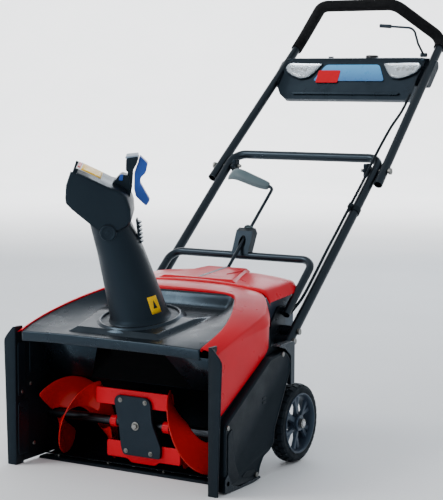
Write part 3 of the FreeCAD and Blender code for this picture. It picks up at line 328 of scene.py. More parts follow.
def open_ends(shape):
    """The same turned shape without its two end discs."""
    return shape[0], shape[1][:-2]


def sweep(path, radius, sides=16):
    """A round bar along points; radius may be one number or one for each point."""
    path = [Vector(p) for p in path]
    radii = radius if isinstance(radius, list) else [radius] * len(path)
    heading = (path[1] - path[0]).normalized()
    side = heading.orthogonal().normalized()
    rows = []
    for i, point in enumerate(path):
        ahead = (path[min(i + 1, len(path) - 1)] - path[max(i - 1, 0)]).normalized()
        side = (side - ahead * side.dot(ahead)).normalized()
        other = ahead.cross(side)
        rows.append([tuple(point + (side * cos(a) + other * sin(a)) * radii[i])
                     for a in turns(sides)])
    return loft(rows)


def curve_through(points, steps=10):
    """Points on a smooth line through the given ones."""
    pts = [Vector(p) for p in points]
    pts = [pts[0] * 2 - pts[1]] + pts + [pts[-1] * 2 - pts[-2]]
    line = []
    for a, b, c, d in zip(pts, pts[1:], pts[2:], pts[3:]):
        for k in range(steps):
            t = k / steps
            line.append(0.5 * (2 * b + (c - a) * t + (2 * a - 5 * b + 4 * c - d) * t ** 2
                               + (3 * b - a - 3 * c + d) * t ** 3))
    return line + [pts[-2]]


def rounded(points, radius, steps=5):
    """A closed polygon of (a, b) points with its corners rounded."""
    out = []
    count = len(points)
    for i in range(count):
        before, corner, after = (Vector(points[j % count]) for j in (i - 1, i, i + 1))
        back, ahead = before - corner, after - corner
        reach = min(radius, back.length * 0.45, ahead.length * 0.45)
        first, last = corner + back.normalized() * reach, corner + ahead.normalized() * reach
        for k in range(steps + 1):
            t = k / steps
            out.append(tuple(first * (1 - t) ** 2 + corner * 2 * t * (1 - t) + last * t ** 2))
    return out


def flip(verts):
    return [(-x, y, z) for x, y, z in verts]


SLOPE = radians(39.3)
ALONG = Vector((0, cos(SLOPE), sin(SLOPE)))
ABOVE = Vector((0, -sin(SLOPE), cos(SLOPE)))
DECK_TILT = tan(radians(10))
DECK = Matrix.Translation((0, 27, 315)) @ Matrix.Rotation(radians(10), 4, "X")
CHUTE = DECK @ Matrix.Rotation(radians(-60), 4, "Z")
# The deflector's pivot is this far ahead of the chute's axis and above its seat.
LEAN, REACH = 42, 220
SIDES = ((1, "right"), (-1, "left"))
# Where the mouth opens, and the inner faces of the side plates.
MOUTH, PLATE = -92, 238
ROTOR_Y, ROTOR_Z = 31, 93
# Radii of the housing's scroll and of the blades' tips.
SCROLL, BLADE = 88, 84
WHEEL_Y, WHEEL_Z = 249, 85


def side_on(a, b, depth):
    """Places an outline that is drawn from the side."""
    return depth, a, b


def rotor_front(a, b, depth):
    """Places an outline drawn from the front, with its heights from the rotor's axis."""
    return a, depth, ROTOR_Z + b


def rotor_side(a, b, depth):
    """Places an outline drawn from the side, with its heights from the rotor's axis."""
    return depth, a, ROTOR_Z + b


def handle_point(x, back, offset=0.0):
    return Vector((x, back, 332 + (back - 399) * tan(SLOPE))) + ABOVE * offset


def placed(matrix, shape):
    verts, faces = shape
    return [tuple(matrix @ Vector(v)) for v in verts], faces


# ---------------------------------------------------------------- hood, lid and deck

CREASE = [(248, -80, 279), (248, -56, 285), (248, -4, 302), (246, 60, 317), (241, 110, 328), (234, 152, 336),
          (210, 191, 350), (176, 237, 363), (120, 238, 371), (60, 238, 374), (0, 238, 375)]
HOOD_RIM = [(219, -92, 292), (221, -60, 303), (218, -2, 319), (200, 60, 338), (180, 105, 352),
            (158, 147, 364), (146, 156, 366), (128, 160, 367), (100, 162, 368), (55, 163, 369),
            (0, 163, 369)]
CHAMFER = [(248, -80, 274), (248, -56, 279), (248, -4, 292), (247.5, 60, 301), (246.5, 110, 306),
           (246, 151, 310)]
PANEL_FOOT = [(246, -66, 148), (246, -56, 152), (246, -4, 180), (246, 60, 214), (245.5, 110, 241),
              (245.5, 150, 263)]


def hood():
    rows = []
    for i, (outer, inner) in enumerate(zip(CREASE, HOOD_RIM)):
        outer, inner = Vector(outer), Vector(inner)
        across = inner - outer
        if i < len(CHAMFER):
            foot, lower = Vector(PANEL_FOOT[i]), Vector(CHAMFER[i])
            low = [foot, foot.lerp(lower, 0.04), foot.lerp(lower, 0.5), foot.lerp(lower, 0.95), lower,
                   lower.lerp(outer, 0.2)]
        else:
            low = [outer + Vector((0, 4, -14)) * (1 - 0.19 * k) for k in range(6)]
        crown = Vector((0, 0, 3))
        low += [outer, outer + across * 0.06, outer + across * 0.3 + crown * 0.8,
                outer + across * 0.6 + crown, outer + across * 0.92 + crown * 0.4, inner,
                inner + Vector((0, 0, -5)), inner + Vector((0, 0, -9))]
        rows.append([tuple(p) for p in low])
    rows += [flip(row) for row in rows[-2::-1]]
    make("hood", *sheet(rows), RED, stands_for=["hood_shroud"], thick=3, levels=2)


def lid():
    stations = [(236, [(193, 340), (192, 346), (179, 365), (172, 368), (90, 376), (0, 379)]),
                (240, [(193, 341), (192, 347), (180, 367), (172, 370), (90, 377.5), (0, 380)]),
                (330, [(191, 346), (190, 353), (183, 373), (175, 376), (90, 384), (0, 386)]),
                (378, [(186, 350), (185, 356), (176, 374), (168, 377), (85, 386), (0, 388)]),
                (388, [(182, 348), (180, 352), (170, 366), (160, 370), (82, 380), (0, 382)])]
    rows = []
    for back, half in stations:
        right = [(x, back, z) for x, z in half]
        rows.append(flip(right) + right[-2::-1])
    front = [(x, 236, z - 8) for x, _, z in rows[0]]
    shape = joined([sheet(rows), sheet([front, rows[0]])])
    make("lid", *shape, RED, stands_for=["hood_lid"], thick=3, levels=2)
    # The raised middle, with a channel for the chute rod and a sunk panel on its right.
    bump = [(-102, 246, 376), (-60, 386, 384), (60, 386, 384), (102, 246, 376)]
    top = [(-88, 252, 382), (-50, 383, 392), (50, 383, 392), (88, 252, 382)]
    make("lid_middle", *loft([bump, top]), RED, bevel=2.5)
    sunk = [(46, 300), (62, 352), (44, 372), (28, 340)]
    frame_line = rounded(sunk, 4, 3)
    lift = lambda a, b, d: (a, b, 382 + (b - 252) * 0.0763 + d)
    make("lid_panel", *slab(frame_line, 0.2, 1.6, lift), RED, bevel=0.6)
    # A flat dark strip stands for the rod channel: painted shade.
    shaded_channel = [(-5, 262), (5, 262), (5, 384), (-5, 384)]
    make("rod_channel_painted_shade", *slab(shaded_channel, 0.0, 0.5, lift), CHARCOAL, bevel=0.2)


def rim_at(back):
    """The hood's inner rim (x, z) at a distance back."""
    for (x0, y0, z0), (x1, y1, z1) in zip(HOOD_RIM[:5], HOOD_RIM[1:6]):
        if back <= y1:
            share = (back - y0) / (y1 - y0)
            return x0 + (x1 - x0) * share, z0 + (z1 - z0) * share
    return HOOD_RIM[5][0], HOOD_RIM[5][2]


def ease(value):
    value = min(max(value, 0.0), 1.0)
    return value * value * (3 - 2 * value)


def plane_at(y):
    return 292 + (y - MOUTH) * DECK_TILT


def deck_height(x, y):
    """The deck: a flat raised tongue under the chute, with panels that rise to the hood's rim."""
    plane = plane_at(y)
    half = 100 + (min(y, 130) + 60) * 0.2
    in_front = ease((y + 70) / 9)
    on_tongue = ease((half + 6 - abs(x)) / 7) * in_front * ease((104 - y) / 62)
    rim_x, rim_z = rim_at(y)
    rise = max(0.0, abs(x) - half) / max(rim_x - half, 20)
    side = plane + (rim_z - 3 - plane) * min(rise, 1.0) ** 1.6
    height = side + (plane + 8 - side) * on_tongue
    back_wall = ease((y - 133) / 28)
    return height + (364 - height) * back_wall * back_wall


def deck():
    rows = []
    for k in range(64):
        y = MOUTH + k * 4
        rim_x = rim_at(y)[0] - 0.5
        rows.append([(rim_x * s / 58, y, deck_height(rim_x * s / 58, y)) for s in range(-58, 59)])
    verts, faces = sheet(rows)
    open_faces = []
    for face in faces:
        middle = sum((Vector(verts[i]) for i in face), Vector()) / 4
        if hypot(middle.x, (middle.y - 27) / cos(radians(10))) > 80:
            open_faces.append(face)
    front = rows[0]
    lip_rows = [[(x, y - d, z - drop) for x, y, z in front]
                for d, drop in ((0, 0), (1.2, 1.5), (1.6, 4), (0.6, 19), (-0.6, 20.5), (-5, 21))]
    lip = sheet(lip_rows)
    make("deck", *joined([(verts, open_faces), lip]), CHARCOAL, stands_for=["front_deck"], thick=3, sharp=50)
    panel = [[(x, -72.5, plane_at(-72.5) + 0.4) for x in (-113, -60, 0, 60, 113)],
             [(x, -61, plane_at(-61) + 9.2) for x in (-97, -52, 0, 52, 97)]]
    make("name_panel", *sheet(panel), CHARCOAL_ROUGH, thick=2.0, bevel=0.6)
    seat = placed(DECK, spin([(-6, 81.7), (2.5, 81.7), (9, 82), (10.5, 83), (10.5, 85.5), (9, 87), (6.5, 89),
                              (3.5, 96), (-4, 99)], (0, 0, 0), Z, 96))
    make("chute_seat", *open_ends(seat), CHARCOAL, thick=1.0, sharp=60)


# ---------------------------------------------------------------- housing

def wall_hole(z):
    """Half the width of the discharge opening at a height."""
    return 79 + (264 - z) * 0.59


def housing():
    half = 237.8
    wall = [(-63, 268), (-30, 268), (-17, 266), (31, 181)]
    arc = [(ROTOR_Y + SCROLL * cos(radians(a)), ROTOR_Z + SCROLL * sin(radians(a)))
           for a in range(84, -115, -6)]
    shell, scroll = (sheet([[(x, y, z) for y, z in line] for x in (-half, half)])
                     for line in (wall[:3], [wall[3]] + arc))
    (y0, z0), (y1, z1) = wall[2], wall[3]
    cheeks = []
    for side in (-1, 1):
        outline = [(half, y0, z0), (wall_hole(z0), y0, z0), (wall_hole(z1), y1, z1), (half, y1, z1)]
        cheeks.append(([(side * x, y, z) for x, y, z in outline], [(0, 1, 2, 3)]))
    # The duct behind the opening closes from its trapezoid to the round seat of the chute.
    steps = 12
    mouth = []
    corners = [(wall_hole(z1), y1, z1), (wall_hole(z0), y0, z0), (-wall_hole(z0), y0, z0),
               (-wall_hole(z1), y1, z1)]
    for a, b in zip(corners, corners[1:] + corners[:1]):
        mouth += [tuple(Vector(a).lerp(Vector(b), k / steps)) for k in range(steps)]
    ring = []
    for k in range(4 * steps):
        turn = radians(20 - 360 * (k - steps * 0.5) / (4 * steps) - 45)
        ring.append(tuple(DECK @ Vector((62 * cos(turn), -62 * sin(turn), -5))))
    middle = [tuple(Vector(a).lerp(Vector(b), 0.45) + Vector((0, 34, -6))) for a, b in zip(mouth, ring)]
    duct = loft([mouth, middle, ring], caps=False)
    # The scroll takes the darkened inside plastic: painted shade under and behind the rotor.
    make("housing_shell", *joined([shell, scroll]), SHADED_INSIDE, stands_for=["rotor_housing"], thick=-1.5,
         sharp=40)
    make("housing_cheeks", *joined(cheeks), CHARCOAL, thick=1.0, sharp=40)
    # The duct is painted near black for the shade deep inside it.
    make("discharge_duct", *duct, DUCT_PAINTED_SHADE, sharp=60)


def side_details():
    """Raised panels and screws on the inside of both side plates."""
    panels = [
        [(-84, 20), (-84, 128), (-76, 136), (-50, 136), (-50, 20)],
        [(-84, 146), (-84, 262), (-60, 262), (-60, 150)],
        [(-44, 190), (-44, 262), (-8, 262), (20, 205), (4, 190)],
    ]
    for number, outline in enumerate(panels):
        for side, label in SIDES[::-1]:
            place = lambda a, b, d, s=side: (s * (PLATE - d), a, b)
            shape = slab(rounded(outline, 7), 0, 1.8, place)
            make("plate_panel_%d_%s" % (number, label), *shape, CHARCOAL, bevel=0.8)
    heads = []
    for side in (-1, 1):
        for y, z in ((-70, 155), (14, 142), (14, 120), (62, 36), (-30, 36), (-40, 168)):
            heads.append(spin([(0, 4.6), (1.6, 4.4), (2.4, 3.2), (2.4, 0.2)], (side * (PLATE - 0.1), y, z),
                              (-side, 0, 0), 20))
    make("plate_screws", *joined(heads), ZINC)


def flange():
    """The flared front flange, rolled forward edge and rounded top corner."""
    def row(z, edge, front=MOUTH, root=243):
        return [(PLATE, front + 26, z), (PLATE, front + 1.5, z), (239.5, front, z), (edge - 1, front, z),
                (edge, front + 1, z), (edge, front + 4, z), (edge - 2, front + 5.5, z),
                (root + 3, front + 13, z), (root, front + 26, z)]
    levels_up = [(0, 260), (1, 260.5), (90, 263), (180, 265.5), (262, 268), (268, 267.2), (275, 263),
                 (283, 256.5), (290, 250), (296, 244.5)]
    right = loft([row(z, edge) for z, edge in levels_up])
    make("flange_right", *right, CHARCOAL_ROUGH, sharp=45)
    make("flange_left", flip(right[0]), right[1], CHARCOAL_ROUGH, sharp=45)
    # The plates follow the CAD's, without its square flange and filled in beside the scroll.
    outline = [(-70, 4), (-70, 272), (0, 291), (87, 306), (146, 308), (150, 262), (222, 262), (222, 186),
               (186, 170), (150, 116), (138, 86), (127, 60), (109, 35), (84, 6)]
    place = lambda a, b, d: (PLATE + d, a, b)
    corner = [(152, 264), (166, 267), (219, 267), (222, 262), (222, 176), (205, 176), (205, 238), (180, 256)]
    for side, label in SIDES:
        plate = slab(rounded(outline, 4, 2), 0, 5, place)
        box = slab(rounded(corner, 3, 2), 4, 24, place)
        turned = [(v if side > 0 else flip(v), f) for v, f in (plate, box)]
        make("plate_" + label, *turned[0], CHARCOAL_ROUGH, stands_for=["side_plate_" + label], bevel=0.8)
        make("corner_box_" + label, *turned[1], CHARCOAL, bevel=2.5)
    dome = spin([(0, 34), (4, 33), (9, 28), (12, 18), (12.5, 1)], (-243, ROTOR_Y, ROTOR_Z), (-1, 0, 0), 48)
    make("bearing_dome", *dome, CHARCOAL)
    ribs = [slab([(-60 + 46 * k, 30), (-56 + 46 * k, 30), (-56 + 46 * k, 250), (-60 + 46 * k, 250)], 5, 7.5,
                 lambda a, b, d: (-(PLATE + d), a, b)) for k in range(4)]
    make("left_ribs", *joined(ribs), CHARCOAL, bevel=0.8)


COVER = [(-62, 6), (-62, 132), (-56, 140), (120, 245)]
COVER += [(172 + 37 * cos(radians(a)), 216 + 36 * sin(radians(a)))
          for a in range(112, -30, -10)]
COVER += [(176, 150), (142, 92), (139, 64), (120, 50), (94, 42), (80, 24), (76, 8), (62, 2), (26, 1),
          (-10, 3), (-40, 8)]


def belt_cover():
    base = rounded(COVER, 6, 3)
    centre = Vector((60, 120))

    def inset(points, amount):
        out = []
        count = len(points)
        for i in range(count):
            before, after = Vector(points[i - 1]), Vector(points[(i + 1) % count])
            run = (after - before).normalized()
            normal = Vector((run.y, -run.x))
            point = Vector(points[i])
            if (centre - point).dot(normal) < 0:
                normal = -normal
            out.append(tuple(point + normal * amount))
        return out

    levels_out = [(0, 243.6), (0, 255), (0.8, 258), (2.6, 260), (5, 260.4), (6.5, 259.4), (8, 258.2)]
    rows = [[(x, a, b) for a, b in inset(base, amount)] for amount, x in levels_out]
    make("drive_cover", *loft(rows), CHARCOAL_ROUGH, stands_for=["belt_cover"], sharp=60)
    slots = []
    for low in (154, 163):
        shape = rounded([(90, low), (104, low), (104, low + 5), (90, low + 5)], 2.4, 3)
        slots.append(slab(shape, 258.0, 259.4, side_on))
    make("cover_slots", *joined(slots), CHARCOAL_ROUGH, bevel=0.4)
    tray = []
    for outline in ([(-50, 18), (-50, 118), (-30, 128), (-24, 60), (-4, 24), (-16, 14)],
                    [(4, 20), (30, 14), (62, 16), (56, 26), (22, 28)]):
        tray.append(slab(rounded(outline, 6, 4), 258.0, 259.8, side_on))
    make("cover_bosses", *joined(tray), CHARCOAL_ROUGH, bevel=0.8)
    foot = [(-66, 2), (-66, 30), (-54, 40), (-40, 14), (-8, 4), (40, 6), (72, 10), (78, 4), (40, 0), (-30, 0)]
    make("cover_foot", *slab(rounded(foot, 4, 3), 244, 263, side_on), CHARCOAL, bevel=2)


# ---------------------------------------------------------------- rotor

def flights():
    """Broad curved blades that wind outwards from the brackets, with a rolled outer edge."""
    for side, label in SIDES:
        blades = []
        for start in (90, 270):
            skewed_out = (start == 90) == (side < 0)
            first = 92 + (14 if skewed_out else -14)
            rows = []
            for k in range(41):
                share = k / 40
                x = side * (first + (226 - first) * share)
                turn = radians(start + 234 * share)
                out = Vector((0, cos(turn), sin(turn)))
                lean = side * 30 * sin(pi * share) ** 0.8
                inner = 11 + 30 * sin(pi * min(share * 1.6, 1.0))
                row = []
                for depth in (1.5, -1.5):
                    points = []
                    for part in (0, 0.22, 0.48, 0.74, 0.93, 1.0):
                        radius = inner + (BLADE - inner) * part
                        push = lean * (1 - part) ** 1.3 - side * 5 * part * part
                        points.append(tuple(Vector((x + depth + push, ROTOR_Y, ROTOR_Z)) + out * radius))
                    row += points if depth > 0 else points[::-1]
                rows.append(row)
            blades.append(loft(rows))
        make("blades_" + label, *joined(blades), ENAMEL, "rotor",
             stands_for=["rotor_flights_" + label], levels=1)


def paddle():
    front, thick = 15, 8
    outline = [(-55, 50), (-47, 62), (27, 62), (37, 52), (41, 10), (63, -40), (61, -64), (-31, -64),
               (-37, -50), (-43, 0)]
    shape = slab(rounded(outline, 7, 4), front - thick, front, rotor_front)
    make("paddle_plate", *shape, RUBBER, "rotor", stands_for=["rotor_paddle"], bevel=1.4)
    places = [(-38, 52), (24, 52), (-24, -55), (38, -55)]
    bolts, washers = [], []
    for x, dz in places:
        centre = (x, front - thick, ROTOR_Z + dz)
        washers.append(spin([(0, 5.0), (0.8, 5.0), (1.0, 4.6), (1.0, 0.2)], centre, (0, -1, 0), 32))
        bolts.append(spin([(1.0, 3.4), (3.0, 3.4), (3.5, 2.9), (3.5, 1.6), (2.2, 1.3), (2.2, 0.1)], centre,
                          (0, -1, 0), 6))
    centre = (0, front - thick, ROTOR_Z)
    washers.append(spin([(0, 9), (1.2, 9), (1.5, 8.4), (1.5, 0.2)], centre, (0, -1, 0), 32))
    bolts.append(spin([(1.5, 6.6), (5, 6.6), (6, 5.6), (6, 0.1)], centre, (0, -1, 0), 6))
    make("paddle_fixings", *joined(bolts + washers), ZINC, "rotor", stands_for=["paddle_bolts"],
         sharp=25)


def brackets():
    """Two red bars folded over at their ends and joined by strips beside the shaft."""
    parts = []
    for sign in (1, -1):
        skew = -14 * sign
        low, high = (38, 73) if sign > 0 else (-73, -38)
        notch = low + 8 * sign
        outline = [(-92 + skew, low), (-40 + skew, low), (-30 + skew, notch), (30 + skew, notch),
                   (40 + skew, low), (92 + skew, low), (92 + skew, high), (-92 + skew, high)]
        parts.append(slab(rounded(outline, 5, 3), 15.2, 18.6, rotor_front))
        for end in (-1, 1):
            x = end * 89 + skew
            parts.append(slab([(15.4, low), (15.4, high), (34, high), (40, low + 12 * sign), (34, low)],
                              x - 1.6, x + 1.6, rotor_side))
    for x in (-66, 66):
        parts.append(spin([(-8, 12.5), (8, 12.5)], (x, ROTOR_Y, ROTOR_Z), X, 32))
    # The brackets take the brighter hood red, not the blades' enamel: painted light, for the front light
    # falling on them.
    make("paddle_brackets", *joined(parts), RED, "rotor", stands_for=["rotor_bracket"], bevel=1.0)


# ---------------------------------------------------------------- chute

def chute_ring(half_width, half_depth, shift, height, sides=48, flat=0.0):
    points = []
    power = 1 - flat
    for a in turns(sides):
        c, s = cos(a), sin(a)
        px = copysign(abs(c) ** power, c)
        py = copysign(abs(s) ** power, s)
        points.append((half_width * px, shift + half_depth * py, height))
    return points


def chute():
    stations = [(66, 66, 0, 6.2), (63, 63, -0.5, 9), (60.5, 60.5, -2, 18), (57, 55, -11.8, 77),
                (53, 48, -26, 154), (50, 41, -LEAN, REACH - 2), (50, 41, -LEAN, REACH + 2)]
    outer = [chute_ring(w, d, s, h, flat=0.12) for w, d, s, h in stations]
    inner = [chute_ring(w - 3, d - 3, s, h, flat=0.12) for w, d, s, h in stations[::-1]]
    tube = loft(outer + inner, caps=False)
    base = spin([(2.6, 61), (2.6, 81), (5, 81.3), (6.2, 80.5), (6.8, 74), (6.2, 61)], (0, 0, 0), Z, 96)
    shape = placed(CHUTE, joined([tube, open_ends(base)]))
    make("chute_body", *shape, CHUTE_BLACK, "chute", sharp=50)
    caps = []
    cap = [(0, 17), (2.6, 16.6), (3.6, 15), (3.6, 12.4), (2.6, 11.6), (2.6, 5), (3.4, 4), (3.4, 0.1)]
    for side in (-1, 1):
        caps.append(spin(cap, (side * 56.4, -LEAN, REACH - 14), (side, 0, 0), 40))
    lift = lambda a, b, d: (d, a - LEAN, b + REACH)
    caps.append(slab([(54, -56), (58, -58), (58, -2), (54, -2)], -8, 8, lift))
    for k in range(6):
        low = 8 * k - 54
        caps.append(slab([(58, low), (65.5, low + 4), (58, low + 7)], -8, 8, lift))
    make("chute_fittings", *placed(CHUTE, joined(caps)), CHUTE_BLACK, "chute",
         stands_for=["chute_tube"], bevel=0.5)


def deflector_point(x, ahead, up):
    return CHUTE @ Vector((x, -LEAN - ahead, REACH + up))


def on_deflector(a, b, x):
    return tuple(deflector_point(x, a, b))


def deflector_shell():
    """The tilting hood over the chute: rounded cheeks under a rounded roof."""
    outline = [(-49, 6), (-50, 30), (-44, 56), (-33, 70), (-8, 80), (22, 98), (50, 114), (64, 121),
               (77, 93), (82, 66), (82, 54), (72, 40), (48, 15), (22, -10), (6, -18), (-16, -17), (-40, -6)]
    rows = []
    for x, shrink in ((-56, 7), (-55.6, 3.5), (-53, 0.8), (-49, 0), (0, 0), (49, 0), (53, 0.8), (55.6, 3.5),
                      (56, 7)):
        middle = Vector((12, 50))
        row = []
        for a, b in outline:
            point = Vector((a, b))
            point += (middle - point).normalized() * shrink
            row.append(tuple(deflector_point(x, point.x, point.y)))
        rows.append(row)
    verts, faces = loft(rows)
    count = len(outline)
    open_edges = set(range(6, 15))
    kept = [f for n, f in enumerate(faces[:-2]) if n % count not in open_edges or n // count in (0, 7)]
    kept += faces[-2:]
    make("deflector_hood", verts, kept, CHUTE_BLACK, "deflector", stands_for=["deflector"], thick=3,
         sharp=42)


def deflector_grip():
    def block(outline, half, radius=3):
        return slab(rounded(outline, radius, 3), -half, half, on_deflector)
    post = block([(-30, 66), (-48, 94), (-46, 104), (-50, 127), (-61, 128), (-57.5, 92), (-52, 60),
                  (-46, 44)], 9)
    root = block([(-12, 76), (-34, 96), (-50, 90), (-50, 60), (-34, 66)], 12, 5)
    make("grip_post", *joined([post, root]), CHUTE_BLACK, "deflector", bevel=1.2)
    head = [(-45, 100), (-48, 128), (-73, 130), (-70, 117), (-58, 99)]
    cheeks = [slab(rounded(head, 5, 4), low, low + 8, on_deflector) for low in (9, -17)]
    nose = slab(rounded([(-44, 100), (-47, 126), (-61, 127), (-57, 100)], 4, 4), -10, 10, on_deflector)
    make("grip_head", *joined(cheeks + [nose]), CHUTE_BLACK, "deflector", bevel=1.6)
    cap = slab(rounded([(-46, 127), (-47, 131.5), (-72, 132), (-72, 128)], 2, 3), -16, 16, on_deflector)
    make("grip_cap", *cap, CAP_GREY, "deflector", bevel=1.5)
    outline = [(-75, 130), (-90, 112), (-84, 93), (-73, 84), (-70, 74), (-87, 35), (-78, 24), (-59, 46),
               (-57, 62), (-60.5, 92), (-61.5, 97), (-71, 117)]
    lever = slab(rounded(outline, 4, 4), -8, 8, on_deflector)
    make("release_lever", *lever, BLUE, "deflector_trigger", stands_for=["deflector_trigger"], bevel=2.0)
    tab = slab(rounded([(-28, 84), (-33, 96), (-39, 95), (-36, 82)], 2, 3), 12, 15, on_deflector)
    make("grip_tab", *tab, BLUE, "deflector", bevel=0.8)


def labels():
    """Plain stickers: coloured fields with simple shapes and no lettering."""
    def on_chute(angle, height, lift):
        share = (height - 18) / 59
        across, deep, shift = 60.5 - 3.5 * share + lift, 60.5 - 5.5 * share + lift, -2 - 9.8 * share
        side, ahead = sin(radians(angle)), -cos(radians(angle))
        return tuple(CHUTE @ Vector((across * copysign(abs(side) ** 0.88, side),
                                     shift + deep * copysign(abs(ahead) ** 0.88, ahead), height)))
    for name, lift, span, mat in (("chute_label", 0.5, (0, 0, 1, 1), YELLOW),
                                  ("chute_label_mark", 0.8, (0.3, 0.3, 0.7, 0.75), CHUTE_BLACK)):
        rows = []
        for i in range(5):
            up = span[1] + (span[3] - span[1]) * i / 4
            pinch = 1 if name == "chute_label" else 1 - i / 4.6
            row = []
            for j in range(9):
                side = span[0] + (span[2] - span[0]) * ((j / 8 - 0.5) * pinch + 0.5)
                row.append(on_chute(121 + 26 * side, 26 + 36 * up, lift))
            rows.append(row)
        make(name, *sheet(rows), mat, "chute", thick=0.4, sharp=80)
    fields = [("roof_label", 55, 8, -46, 20, 0.4, WHITE), ("roof_label_yellow", 46, 8, -46, 16, 0.8, YELLOW),
              ("roof_label_red", 54, 48, -44, 4, 0.8, RED_LABEL)]
    for name, front, back, low, high, lift, mat in fields:
        rows = []
        for i in range(7):
            share = i / 6
            a = front + (back - front) * share
            b = 98 + (a - 22) * 0.571 if a > 22 else 80 + (a + 8) * 0.6
            rows.append([tuple(deflector_point(low + (high - low) * j / 4, a - lift * 0.5, b + lift * 0.87))
                         for j in range(5)])
        make(name, *sheet(rows), mat, "deflector", thick=0.3, sharp=80)


# ---------------------------------------------------------------- wheels

def wheels():
    for side, label in SIDES:
        centre = Vector((0, WHEEL_Y, WHEEL_Z))
        profile = [(229, 64), (228, 70), (228.5, 76), (231, 80), (236, 81.5), (254, 81.5), (259, 80),
                   (262, 76), (262.5, 70), (261, 64)]
        tyre = open_ends(spin(profile, centre, X, 72))
        lugs = []
        for k in range(30):
            for row, (low, high, shift) in enumerate(((228.8, 239, 0), (240.5, 249.5, 6), (251, 261.4, 0))):
                middle = radians(12 * k + shift)
                corners = []
                for radius, grow in ((79.5, 1.12), (84.6, 1.0)):
                    half = radians(4.4) * grow
                    taper = 1.6 if radius > 80 else 0
                    near, far = low + taper * (row == 0), high - taper * (row == 2)
                    for x, a in ((near, middle - half), (near, middle + half), (far, middle + half),
                                 (far, middle - half)):
                        r = radius - (3.0 if (row == 0 and x < 232) or (row == 2 and x > 258) else 0)
                        corners.append((x, centre.y + r * cos(a), centre.z + r * sin(a)))
                lugs.append(loft([corners[:4], corners[4:]]))
        rim_parts = [open_ends(spin([(231, 64), (230, 60), (240, 57.5), (252, 57.5), (260, 60), (263.5, 62),
                                     (263.5, 64.6), (260, 65), (250, 64)], centre, X, 72))]
        hub = [(226, 16.5), (262, 17), (263.4, 15.5), (263.4, 6.2), (226, 6.2)]
        rim_parts.append(spin(hub, centre, X, 40))
        for k in range(6):
            middle = radians(60 * k + 30)
            for spread in (-1, 1):
                points = []
                for radius, half in ((14, 7.5), (34, 5.0), (58, 9.0)):
                    turn = middle + spread * radians(9) * (radius - 14) / 44
                    out = Vector((0, cos(turn), sin(turn)))
                    across = Vector((0, -sin(turn), cos(turn)))
                    points.append([tuple(centre + Vector((x, 0, 0)) + out * radius + across * half * s)
                                   for x, s in ((248, -1), (248, 1), (254 + 3 * (radius < 20), 0.6),
                                                (254 + 3 * (radius < 20), -0.6))])
                rim_parts.append(loft(points))
        shapes = [joined([tyre] + lugs), joined(rim_parts)]
        if side < 0:
            shapes = [(flip(v), f) for v, f in shapes]
        wheel = label + "_wheel"
        make("tread_" + label, *shapes[0], TYRE, wheel, stands_for=["tyre_" + label], sharp=32)
        make("spokes_" + label, *shapes[1], RIM, wheel, stands_for=["rim_" + label], bevel=0.8)
        cap = spin([(0.4, 9), (2, 9), (4.6, 7.4), (5, 4), (5, 0.1)], (side * 265, WHEEL_Y, WHEEL_Z),
                   (side, 0, 0), 32)
        make("axle_cap_" + label, *cap, ZINC)


# ---------------------------------------------------------------- console

FACE_LOW, FACE_HIGH = Vector((0, 962, 770)), Vector((0, 1025, 868))
FACE_UP = (FACE_HIGH - FACE_LOW).normalized()
FACE_OUT = Vector((0, -FACE_UP.z, FACE_UP.y))


def on_face(x, up, out):
    return tuple(FACE_LOW + FACE_UP * up + FACE_OUT * out + X * x)


